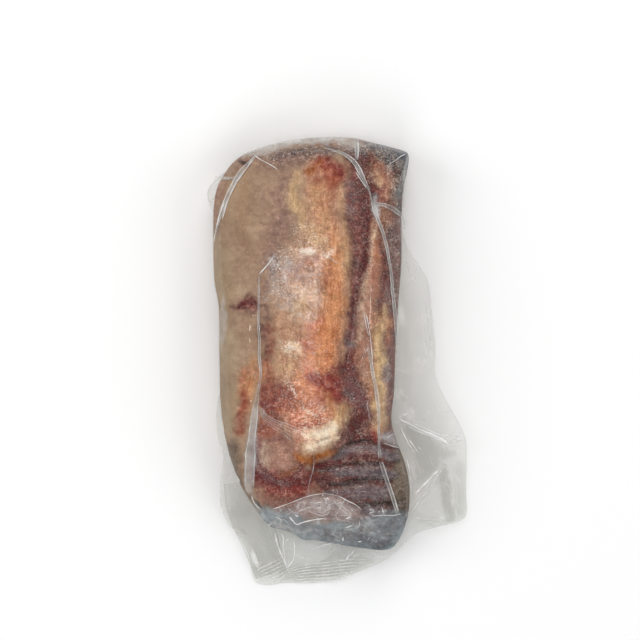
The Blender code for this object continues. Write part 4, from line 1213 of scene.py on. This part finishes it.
def film_tail(shift):
    """The strip of film folded back on itself at the lower left."""
    route = [(*place, width) for place, width in zip(TAIL_ROUTE, TAIL_WIDTHS)]
    line = even_line(route, TAIL_SPACING)
    shares = np.linspace(-0.5, 0.5, TAIL_COLUMNS)
    places = line[:, None, :2] + sideways(line)[:, None] * (line[:, 2, None] * shares)[:, :, None]
    flat = places.reshape(-1, 2)
    z = flap_level(flat).reshape(places.shape[:2]) + TAIL_RISE
    to_rim = (0.5 - np.abs(shares)) * line[:, 2, None]
    points, faces = sheet_webs(places, z, TAIL_RIM_SHARE, to_rim, TAIL_RIM, shift)
    layers_and_shade = coverage(flat, TAIL_SPOTS, fade=4.0, stray=1.0, seed=960)
    numbers = {
        "haze_and_highlight": np.full(len(flat), TAIL_HAZE),
        "layered_and_shaded": np.maximum(layers_and_shade, rim_line(to_rim, *TAIL_RIM_SHADE)),
        "grain": np.full(len(flat), LOOSE_GRAIN),
    }
    return new_piece("film_tail", points, faces, on_both_webs(numbers))


def pleat_webs(route, height, seed):
    """Points, faces and whiteness of a pleat laid along a route, with two raised edges."""
    line = even_line(route, PLEAT_SPACING)
    here = line[:, :2]
    across = sideways(line)
    wander = PLEAT_WANDER * (2 * noise(here, 5.0, seed) - 1)
    width = line[:, 2] * uneven(here, 6.0, seed + 1, *PLEAT_WIDTHS)
    side, lift = np.array(PLEAT_PROFILE).T
    fade = smoothstep(from_ends(line, PLEAT_SPACING) / PLEAT_TAPER)[:, None]
    places = here[:, None] + across[:, None] * (wander[:, None] + width[:, None] / 2 * side)[:, :, None]
    base = film_level(places.reshape(-1, 2)).reshape(places.shape[:2])
    upper = np.dstack([places, base + lift * height * fade])
    lower = np.dstack([places, base - PLEAT_SINK])
    points, faces = two_webs(upper, lower)
    white = np.array(PLEAT_WHITE) * (PLEAT_END_WHITE + (1 - PLEAT_END_WHITE) * fade)
    white = white * uneven(here, 5.0, seed + 2, *PLEAT_WHITENESS)[:, None]
    return points, faces, np.tile(white.ravel(), 2)


def film_pleats(shift):
    """All pleats of the film on the tongue, as one piece."""
    points, faces, haze_and_highlight = [], [], []
    count = 0
    for number, (height, whiteness, route) in enumerate(PLEATS.values()):
        pleat_points, pleat_faces, white = pleat_webs(route, height, seed=800 + 10 * number)
        points.append(pleat_points)
        faces += [tuple(index + count for index in face) for face in pleat_faces]
        haze_and_highlight.append(white * whiteness)
        count += len(pleat_points)
    numbers = {"haze_and_highlight": np.concatenate(haze_and_highlight), "grain": np.full(count, FILM_GRAIN)}
    return new_piece("film_pleats", np.vstack(points) + shift, faces, numbers)


# ---------------------------------------------------------------- node trees
def add_node(tree, kind, values=None, links=None, **settings):
    """A node with its settings, the values of its sockets and the sources of its links."""
    made = tree.nodes.new(kind)
    for key, value in settings.items():
        setattr(made, key, value)
    for key, value in (values or {}).items():
        made.inputs[key].default_value = value
    for key, source in (links or {}).items():
        tree.links.new(source, made.inputs[key])
    return made


def math_node(tree, operation, *terms):
    """A sum, product or the like of numbers and of other nodes' outputs."""
    made = add_node(tree, "ShaderNodeMath", operation=operation)
    for socket, term in zip(made.inputs, terms):
        if isinstance(term, (int, float)):
            socket.default_value = term
        else:
            tree.links.new(term, socket)
    return made.outputs[0]


def named_number(tree, name):
    return add_node(tree, "GeometryNodeInputNamedAttribute", {"Name": name}).outputs["Attribute"]


def modifier_tree(name, inputs):
    """An empty Geometry Nodes tree with named inputs, from a table of name and type."""
    tree = bpy.data.node_groups.new(name, "GeometryNodeTree")
    tree.interface.new_socket("Geometry", in_out="INPUT", socket_type="NodeSocketGeometry")
    tree.interface.new_socket("Geometry", in_out="OUTPUT", socket_type="NodeSocketGeometry")
    for key, kind in inputs:
        tree.interface.new_socket(key, in_out="INPUT", socket_type=kind)
    return tree, tree.nodes.new("NodeGroupInput").outputs, tree.nodes.new("NodeGroupOutput").inputs[0]


def finish_tree(tree, source, material, output):
    """Ends a tree in Realize Instances, smooth shading and Set Material."""
    whole = add_node(tree, "GeometryNodeRealizeInstances", {}, {"Geometry": source}).outputs[0]
    smooth = add_node(tree, "GeometryNodeSetShadeSmooth", {}, {0: whole}).outputs[0]
    painted = add_node(tree, "GeometryNodeSetMaterial", {}, {0: smooth, "Material": material}).outputs[0]
    tree.links.new(painted, output)


def made_by(tree, base, values, name):
    """The plain mesh that a tree makes of a base object, which is then removed."""
    modifier = base.modifiers.new("shape", "NODES")
    modifier.node_group = tree
    for socket in tree.interface.items_tree:
        if socket.in_out == "INPUT" and socket.name in values:
            modifier[socket.identifier] = values[socket.name]
    bpy.context.view_layer.update()
    evaluated = base.evaluated_get(bpy.context.evaluated_depsgraph_get())
    made = new_object(name, bpy.data.meshes.new_from_object(evaluated))
    made.data.name = name
    base.modifiers.clear()
    bpy.data.objects.remove(base)
    return made


def strand_tree():
    """Tubes along edges, as thick as their girth and flattened."""
    inputs = (
        ("Sides", "NodeSocketInt"),
        ("Flatness", "NodeSocketVector"),
        ("Material", "NodeSocketMaterial"),
    )
    tree, given, output = modifier_tree("film_strands", inputs)
    curve = add_node(tree, "GeometryNodeMeshToCurve", {}, {"Mesh": given["Geometry"]}).outputs[0]
    sides = {"Resolution": given["Sides"]}
    circle = add_node(tree, "GeometryNodeCurvePrimitiveCircle", {"Radius": 1.0}, sides).outputs[0]
    flattened = {"Geometry": circle, "Scale": given["Flatness"]}
    profile = add_node(tree, "GeometryNodeTransform", {}, flattened).outputs[0]
    upright = add_node(tree, "GeometryNodeSetCurveNormal", {}, {"Curve": curve}, mode="Z_UP").outputs[0]
    tube = add_node(
        tree,
        "GeometryNodeCurveToMesh",
        {"Fill Caps": True},
        {"Curve": upright, "Profile Curve": profile, "Scale": named_number(tree, "girth")},
    ).outputs[0]
    finish_tree(tree, tube, given["Material"], output)
    return tree


def strands(name, routes, level, shift, material):
    """Fine raised strands of film, from a table of half width, whiteness and route."""
    points, edges, girth, haze_and_highlight = [], [], [], []
    count = 0
    for half_width, whiteness, route in routes:
        line = even_line(route, STRAND_SPACING)
        taper = smoothstep(from_ends(line, STRAND_SPACING) / STRAND_TAPER)
        taper = STRAND_TIP + (1 - STRAND_TIP) * taper
        points.append(np.column_stack([line, level(line) + STRAND_LIFT * half_width]))
        edges += [(count + index, count + index + 1) for index in range(len(line) - 1)]
        girth.append(half_width * taper * uneven(line, 3.0, 900, *STRAND_GIRTHS) * MM)
        haze_and_highlight.append(whiteness * uneven(line, 4.0, 910, *STRAND_WHITENESS))
        count += len(line)
    mesh = bpy.data.meshes.new(name)
    mesh.from_pydata(((np.vstack(points) + shift) * MM).tolist(), edges, [])
    grain = np.full(count, FILM_GRAIN)
    set_numbers(mesh, {"girth": np.concatenate(girth), "haze_and_highlight": np.concatenate(haze_and_highlight), "grain": grain})
    values = {"Sides": STRAND_SIDES, "Flatness": (1.0, STRAND_FLATNESS, 1.0), "Material": material}
    return made_by(strand_tree(), new_object(name + "_lines", mesh), values, name)


def crumple_routes():
    """Short creases, straight or with one bend, where the film is crumpled over the root end."""
    random = np.random.default_rng(17)
    routes = []
    for (left, low), (right, high), count in CRUMPLED_BOXES:
        for start in random.uniform((left, low), (right, high), (count, 2)):
            heading = random.normal(*CRUMPLE_HEADING)
            turns = heading + random.normal(0, CRUMPLE_TURN, random.integers(*CRUMPLE_PARTS))
            lengths = random.uniform(*CRUMPLE_LENGTHS, len(turns))[:, None]
            steps = lengths * np.column_stack([np.cos(turns), np.sin(turns)])
            half_width = random.uniform(*CRUMPLE_HALF_WIDTHS)
            whiteness = random.uniform(*CRUMPLE_WHITENESS)
            routes.append((half_width, whiteness, start + np.vstack([[0, 0], np.cumsum(steps, axis=0)])))
    return routes


def bundle_routes():
    """The fine creases that run side by side past the lobe."""
    line = even_line(BUNDLE, BUNDLE_SPACING)
    across = sideways(line)
    spread = np.linspace(*BUNDLE_WIDENING, len(line))[:, None]
    routes = []
    for number in range(BUNDLE_LINES):
        offset = (number - (BUNDLE_LINES - 1) / 2) * BUNDLE_SPREAD
        routes.append((*BUNDLE_STRAND, line + across * offset * spread))
    return routes


def seal_routes():
    """The ribs that the sealing bar pressed into the film's ends."""
    routes = []
    for first, last, count, half_width, whiteness in SEALS.values():
        first, last = even_line(first, SEAL_SPACING), even_line(last, SEAL_SPACING)
        share_first = np.linspace(0, 1, len(first))
        share_last = np.linspace(0, 1, len(last))
        last = np.column_stack([np.interp(share_first, share_last, column) for column in last.T])
        for number in range(count):
            route = first + (last - first) * number / (count - 1)
            routes.append((half_width, whiteness, route))
    return routes


def grain_tree():
    """Small ice grains strewn over a surface, thickest where glints are painted, so that their white adds to
    the painted highlights.
    """
    inputs = (
        ("Density", "NodeSocketFloat"),
        ("Least radius", "NodeSocketFloat"),
        ("Most radius", "NodeSocketFloat"),
        ("Seed", "NodeSocketInt"),
        ("Material", "NodeSocketMaterial"),
    )
    tree, given, output = modifier_tree("ice_grains", inputs)
    density = math_node(tree, "MULTIPLY", named_number(tree, "frost_and_glint"), given["Density"])
    strewn = add_node(
        tree,
        "GeometryNodeDistributePointsOnFaces",
        {},
        {"Mesh": given["Geometry"], "Density": density, "Seed": given["Seed"]},
        distribute_method="RANDOM",
    ).outputs
    ball = add_node(tree, "GeometryNodeMeshIcoSphere", {"Radius": 1.0, "Subdivisions": 1}).outputs[0]
    radius = add_node(tree, "FunctionNodeRandomValue", {"Seed": 3}, data_type="FLOAT")
    tree.links.new(given["Least radius"], radius.inputs[2])
    tree.links.new(given["Most radius"], radius.inputs[3])
    placing = {
        "Points": strewn["Points"],
        "Instance": ball,
        "Rotation": strewn["Rotation"],
        "Scale": radius.outputs[1],
    }
    placed = add_node(tree, "GeometryNodeInstanceOnPoints", {}, placing).outputs[0]
    finish_tree(tree, placed, given["Material"], output)
    return tree


def ice_grains(tongue_piece, material):
    """Frost between the meat and the film, strewn where the glints are painted."""
    base = new_object("frosted_meat", tongue_piece.data.copy())
    values = {
        "Density": GRAIN_COUNT_PER_SQUARE / MM**2,
        "Least radius": GRAIN_SIZE[0] * MM,
        "Most radius": GRAIN_SIZE[1] * MM,
        "Seed": 11,
        "Material": material,
    }
    return made_by(grain_tree(), base, values, "ice_grains")


# ---------------------------------------------------------------- materials
def linear(colour):
    """A colour of 0 to 255 as linear red, green, blue and alpha."""
    shares = np.array(colour) / 255.0
    return (*np.where(shares <= 0.04045, shares / 12.92, ((shares + 0.055) / 1.055) ** 2.4), 1.0)


def attribute(tree, name):
    return add_node(tree, "ShaderNodeAttribute", attribute_name=name).outputs["Fac"]


def noise_texture(tree, place, size, stretch=(1, 1, 1), detail=3.0, roughness=0.6, distortion=0.0):
    """Noise whose blobs are about size millimetres, drawn out along an axis by a small stretch."""
    mapping = add_node(tree, "ShaderNodeMapping", {"Scale": stretch}, {"Vector": place}).outputs["Vector"]
    values = {"Scale": 0.5 / (size * MM), "Detail": detail, "Roughness": roughness, "Distortion": distortion}
    return add_node(tree, "ShaderNodeTexNoise", values, {"Vector": mapping}).outputs["Fac"]


def cell_texture(tree, place, size, output, feature="F1"):
    """Irregular cells about size millimetres across: their distance or their own random colour."""
    values = {"Scale": 1 / (size * MM)}
    return add_node(tree, "ShaderNodeTexVoronoi", values, {"Vector": place}, feature=feature).outputs[output]


def ramp(tree, value, low, high, to_low=0.0, to_high=1.0):
    """A value from low to high as one from to_low to to_high, smoothly."""
    values = {"From Min": low, "From Max": high, "To Min": to_low, "To Max": to_high}
    return add_node(
        tree, "ShaderNodeMapRange", values, {"Value": value}, interpolation_type="SMOOTHSTEP"
    ).outputs["Result"]


def mix_colour(tree, share, first, second):
    """A share of the second colour laid over the first; each is a value or another node's output."""
    made = add_node(tree, "ShaderNodeMix", data_type="RGBA")
    for number, value in ((0, share), (6, first), (7, second)):
        if isinstance(value, (int, float, tuple)):
            made.inputs[number].default_value = value
        else:
            tree.links.new(value, made.inputs[number])
    return made.outputs[2]


def bent_place(tree, place, reach, scale):
    """Places moved a little by noise, so that cells have curved edges."""
    swirl = add_node(tree, "ShaderNodeTexNoise", {"Scale": scale}, {"Vector": place}).outputs["Color"]
    return mix_colour(tree, reach, place, swirl)


def new_material(name):
    """A material with its tree, the socket for its surface and its places on the object."""
    material = bpy.data.materials.new(name)
    material.use_nodes = True
    tree = material.node_tree
    tree.nodes.clear()
    surface = add_node(tree, "ShaderNodeOutputMaterial").inputs["Surface"]
    return material, tree, surface, add_node(tree, "ShaderNodeTexCoord").outputs["Object"]


def tissue_colour(tree, noises):
    """Skin, with the other tissues laid over it one by one where their numbers say."""
    colour = mix_colour(tree, ramp(tree, noises["patch"], 0.35, 0.65), linear(SKIN[0]), linear(SKIN[1]))
    blotched = ramp(tree, noises["blotch"], 0.42, 0.78, 0, SKIN_BLOTCH_SHARE)
    colour = mix_colour(tree, blotched, colour, linear(SKIN_BLOTCH))
    ragged = ramp(tree, noises["blotch"], 0.3, 0.7, -1.3, 1.3)
    ragged = math_node(tree, "ADD", ragged, ramp(tree, noises["mottle"], 0.32, 0.68, -0.8, 0.8))
    for tissue, (main, second, grain, _, _, edge, _) in TISSUES.items():
        own = mix_colour(tree, ramp(tree, noises[grain], 0.34, 0.66), linear(main), linear(second))
        cover = attribute(tree, tissue)
        near_edge = math_node(tree, "MULTIPLY", cover, math_node(tree, "SUBTRACT", 1.0, cover))
        near_edge = math_node(tree, "MULTIPLY", near_edge, edge)
        broken = math_node(tree, "MULTIPLY_ADD", near_edge, ragged, cover)
        colour = mix_colour(tree, broken, colour, own)
    return colour


def ice_threads(tree, place, noises, colour):
    """Pale threads of ice between dark cells."""
    bent = bent_place(tree, place, reach=0.0012, scale=700.0)
    cells = cell_texture(tree, bent, THREAD_CELL, "Distance", "DISTANCE_TO_EDGE")
    worm = attribute(tree, "worm")
    broken = ramp(tree, noises["blotch"], 0.38, 0.6)
    threads = math_node(tree, "MULTIPLY", ramp(tree, cells, 0.16, 0.03), broken)
    threads = math_node(tree, "MULTIPLY", threads, worm)
    colour = mix_colour(tree, math_node(tree, "MULTIPLY", threads, THREAD_SHARE), colour, linear(ICE_WORMS))
    cores = math_node(tree, "MULTIPLY", ramp(tree, cells, 0.22, 0.4), worm)
    return mix_colour(tree, math_node(tree, "MULTIPLY", cores, CORE_SHARE), colour, linear(DARK_PORES))


def grained(tree, place, colour):
    """Dark pores and pale grains, the pale ones partly painted highlights, as strong as the tissue's own
    roughness.
    """
    rough = attribute(tree, "rough")
    brightness = 1.0
    for size, strength in GRAINS:
        grain = noise_texture(tree, place, size, DOWNWARD, detail=3.0, roughness=0.7)
        brightness = math_node(tree, "ADD", brightness, ramp(tree, grain, 0.3, 0.7, -strength, strength))
    swing = math_node(tree, "MULTIPLY_ADD", math_node(tree, "SUBTRACT", brightness, 1.0), rough, 1.0)
    links = {"Vector": colour, "Scale": swing}
    colour = add_node(tree, "ShaderNodeVectorMath", {}, links, operation="SCALE").outputs[0]
    pale = math_node(tree, "MULTIPLY", ramp(tree, swing, 1.0, 1.5), GRAIN_HIGHLIGHT_SHARE)
    return mix_colour(tree, pale, colour, linear(PALE_GRAINS_AND_HIGHLIGHTS))


def frozen_meat():
    """Tissues with threads of ice, pores, frost glitter and painted glints, and papillae on the underside."""
    material, tree, surface, place = new_material("frozen_tongue")
    noises = {name: noise_texture(tree, place, *settings) for name, settings in MEAT_NOISES.items()}
    colour = tissue_colour(tree, noises)
    colour = ice_threads(tree, place, noises, colour)
    colour = grained(tree, place, colour)
    dashes = noise_texture(tree, place, 0.42, (0.65, 1, 1), detail=2.0)
    # painted highlights: white glints where the glint map is strong, drawn as frost glitter
    shine = math_node(tree, "MULTIPLY_ADD", attribute(tree, "frost_and_glint"), GLINT_GAIN, dashes)
    frost_and_glint = ramp(tree, shine, 0.66, 0.84, 0, GLINT_SHARE)
    colour = mix_colour(tree, frost_and_glint, colour, linear(FROST_AND_GLINT_WHITE))
    tips = cell_texture(tree, place, PAPILLA_SPACING, "Distance")
    tips = math_node(tree, "MULTIPLY", ramp(tree, tips, 0.5, 0.1), attribute(tree, "sole"))
    colour = mix_colour(tree, math_node(tree, "MULTIPLY", tips, 0.5), colour, linear(PALE_PAPILLAE))
    fine = math_node(tree, "ADD", noises["speckle"], noises["blotch"])
    height = math_node(tree, "MULTIPLY_ADD", tips, 2.0, fine)
    relief = {"Strength": 0.5, "Distance": 0.3 * MM}
    bump = add_node(tree, "ShaderNodeBump", relief, {"Height": height}).outputs[0]
    shader = add_node(
        tree,
        "ShaderNodeBsdfPrincipled",
        {"Roughness": 0.6, "Specular IOR Level": 0.1},
        {"Base Color": colour, "Normal": bump},
    )
    tree.links.new(shader.outputs["BSDF"], surface)
    return material


def ice():
    material, tree, surface, place = new_material("white_ice")
    tone = ramp(tree, noise_texture(tree, place, 3.0), 0.3, 0.7)
    colour = mix_colour(tree, tone, linear(ICE[0]), linear(ICE[1]))
    shader = add_node(tree, "ShaderNodeBsdfPrincipled", {"Roughness": 0.15}, {"Base Color": colour})
    tree.links.new(shader.outputs["BSDF"], surface)
    return material


def facet_highlights_and_shade(tree, place, broad, whitening):
    """Haze with the white edges and pale faces of small facets where the film is crumpled: the edges are
    painted highlights and the faces, each whitened by its own amount, painted shading.
    """
    crumpled = attribute(tree, "crumpled")
    bent = bent_place(tree, place, reach=0.0015, scale=120.0)
    for size, width, whiteness in FACETS:
        edge = cell_texture(tree, bent, size, "Distance", "DISTANCE_TO_EDGE")
        line = ramp(tree, edge, width, 0.0, 0, whiteness)
        line = math_node(tree, "MULTIPLY", line, ramp(tree, broad, 0.42, 0.6))
        face = ramp(tree, cell_texture(tree, bent, size, "Color"), 0.4, 0.9, 0, 0.10)
        line = math_node(tree, "ADD", line, face)
        whitening = math_node(tree, "MULTIPLY_ADD", line, crumpled, whitening)
    return whitening


def clear_film(name, layered_and_shade_tint=None, faceted=False):
    """Film: what lies behind it shows through its glossy face, and it is white where it is hazy and where it
    is creased; the white on creases, strands and ribs is partly painted highlight.
    """
    tint, roughness, wrinkle, depth = FILMS[name]
    material, tree, surface, place = new_material(name)
    fine = noise_texture(tree, place, wrinkle, detail=2.0)
    broad = noise_texture(tree, place, wrinkle * BROAD_WRINKLE, detail=3.0)
    height = math_node(tree, "MULTIPLY_ADD", fine, attribute(tree, "grain"), broad)
    relief = {"Strength": 1.0, "Distance": depth * MM}
    bump = add_node(tree, "ShaderNodeBump", relief, {"Height": height}).outputs[0]
    clear = add_node(tree, "ShaderNodeBsdfTransparent", {"Color": linear(tint)})
    # darker where the film lies in layers, and where shade is painted on folds and rims
    if layered_and_shade_tint:
        through = mix_colour(tree, attribute(tree, "layered_and_shaded"), linear(tint), linear(layered_and_shade_tint))
        tree.links.new(through, clear.inputs["Color"])
    gloss = add_node(tree, "ShaderNodeBsdfAnisotropic", {"Roughness": roughness}, {"Normal": bump}).outputs[0]
    mirrored = add_node(tree, "ShaderNodeFresnel", {"IOR": FILM_IOR}, {"Normal": bump}).outputs[0]
    inside = add_node(tree, "ShaderNodeNewGeometry").outputs["Backfacing"]
    mirrored = math_node(tree, "MULTIPLY", mirrored, math_node(tree, "SUBTRACT", 1.0, inside))
    mirrored = math_node(tree, "MINIMUM", mirrored, MOST_MIRRORED)
    face = add_node(tree, "ShaderNodeMixShader", {}, {0: mirrored, 1: clear.outputs[0], 2: gloss}).outputs[0]
    pale = add_node(
        tree,
        "ShaderNodeBsdfPrincipled",
        {"Base Color": linear(HAZE_AND_HIGHLIGHT_WHITE), "Roughness": 0.25},
        {"Normal": bump},
    ).outputs[0]
    # the haze number whitens hazy film and also paints highlights on creases, strands and ribs
    whitening = math_node(tree, "MULTIPLY", attribute(tree, "haze_and_highlight"), ramp(tree, broad, 0.35, 0.65, 0.7, 1.3))
    if faceted:
        whitening = facet_highlights_and_shade(tree, place, broad, whitening)
    both = add_node(tree, "ShaderNodeMixShader", {}, {0: whitening, 1: face, 2: pale}).outputs[0]
    tree.links.new(both, surface)
    return material


# ---------------------------------------------------------------- stage
CAMERA_HEIGHT = 3.0
SENSOR_WIDTH = 36.0
PICTURE_SIDE = 0.4096  # metres across the picture at the tongue's seam
PICTURE_CENTRE = (-0.0112, 0.0259)
FLOOR_REACH = 3.0  # metres from its middle to its sides
PAPER = (0.93, 0.93, 0.93, 1)
WORLD_LIGHT = 0.28
LIGHTS = {
    # place, aim, side and power
    "left_box": ((-1.25, 0.25, 1.15), (0, 0, 0), 1.1, 10.4),
    "front_box": ((0.2, 1.25, 1.15), (0, 0, 0), 1.1, 9.7),
    "right_box": ((1.25, -0.15, 1.15), (0, 0, 0), 1.1, 8.0),
    "low_box": ((-0.2, -1.25, 1.15), (0, 0, 0), 1.1, 8.0),
    "lamp": ((-0.06, 0.05, 1.2), (-0.03, 0.02, 0), 0.19, 1.1),
}
MIRRORED_LIGHTS = ("lamp",)  # the film mirrors only the lamp; the boxes would veil the dark meat


def pale_floor():
    corners = [(x * FLOOR_REACH, y * FLOOR_REACH, 0) for x, y in ((-1, -1), (1, -1), (1, 1), (-1, 1))]
    mesh = bpy.data.meshes.new("floor")
    mesh.from_pydata(corners, [], [(0, 1, 2, 3)])
    floor = new_object("floor", mesh)
    paper = bpy.data.materials.new("pale_paper")
    paper.use_nodes = True
    shader = paper.node_tree.nodes["Principled BSDF"]
    shader.inputs["Base Color"].default_value = PAPER
    shader.inputs["Roughness"].default_value = 0.9
    shader.inputs["Specular IOR Level"].default_value = 0.1
    mesh.materials.append(paper)


def camera(shift):
    """A camera that looks straight down, with the photo's framing at the tongue's seam."""
    made = new_object("camera", bpy.data.cameras.new("camera"))
    made.data.sensor_width = SENSOR_WIDTH
    made.data.lens = SENSOR_WIDTH * (CAMERA_HEIGHT - SEAM_HEIGHT * MM) / PICTURE_SIDE
    made.location = (PICTURE_CENTRE[0] + shift[0] * MM, PICTURE_CENTRE[1] + shift[1] * MM, CAMERA_HEIGHT)
    bpy.context.scene.camera = made


def studio_light():
    """Even light from the world and four boxes, and a small lamp that the film mirrors."""
    world = bpy.data.worlds.new("studio")
    bpy.context.scene.world = world
    world.use_nodes = True
    background = world.node_tree.nodes["Background"]
    background.inputs["Color"].default_value = (1, 1, 1, 1)
    background.inputs["Strength"].default_value = WORLD_LIGHT
    for name, (place, aim, side, power) in LIGHTS.items():
        light = bpy.data.lights.new(name, "AREA")
        light.shape = "RECTANGLE"
        light.size = light.size_y = side
        light.energy = power
        made = new_object(name, light)
        made.visible_glossy = name in MIRRORED_LIGHTS
        made.location = place
        made.rotation_mode = "QUATERNION"
        made.rotation_quaternion = (Vector(aim) - Vector(place)).to_track_quat("-Z", "Y")
    bpy.context.scene.view_settings.view_transform = "Standard"
    bpy.context.scene.cycles.transparent_max_bounces = 32


def to_bag():
    """The step from the part's millimetres to the bag's place, with its box's middle at the origin."""
    angles = np.linspace(-math.pi, math.pi, FINE_STEPS)
    radii = tongue_radius(angles)[:, None]
    body = np.array(CENTRE) + radii * np.column_stack([np.cos(angles), np.sin(angles)])
    outline = np.vstack([body, smooth_line(WIDE_FLAP_EDGE), smooth_line(EAR_EDGE)])
    middle = (outline.min(0) + outline.max(0)) / 2
    low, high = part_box(NODE)
    bag_middle = np.array((low + high) / 2) / MM
    return np.array([bag_middle[0] - middle[0], bag_middle[1] - middle[1], 0.0])


def build():
    shift = to_bag()
    tight = clear_film("tight_film", faceted=True)
    loose = clear_film("loose_film", layered_and_shade_tint=LAYERED_AND_SHADE_TINT)
    crease = clear_film("creased_film")
    meat = tongue(shift)
    meat.data.materials.append(frozen_meat())
    dressed = {
        film_wrap(shift): tight,
        film_flap("film_flap", WIDE_FLAP_EDGE, WIDE_FLAP_LEVELS, shift, steps=72): loose,
        film_flap("film_ear", EAR_EDGE, EAR_LEVELS, shift, steps=16): loose,
        film_tail(shift): loose,
        film_pleats(shift): crease,
    }
    for piece, material in dressed.items():
        piece.data.materials.append(material)
    pieces = [meat, *dressed]
    tongue_strands = [*TONGUE_STRANDS, *bundle_routes(), *crumple_routes()]
    pieces.append(strands("film_creases", tongue_strands, film_level, shift, crease))
    pieces.append(strands("flap_creases", FLAP_STRANDS, loose_top, shift, crease))
    pieces.append(strands("seal_ribs", seal_routes(), loose_top, shift, crease))
    grains = ice_grains(meat, ice())
    pieces.append(grains)
    for piece in pieces:
        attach(piece, BODY)
        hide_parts(NODE)
    pale_floor()
    camera(shift)
    studio_light()


build()
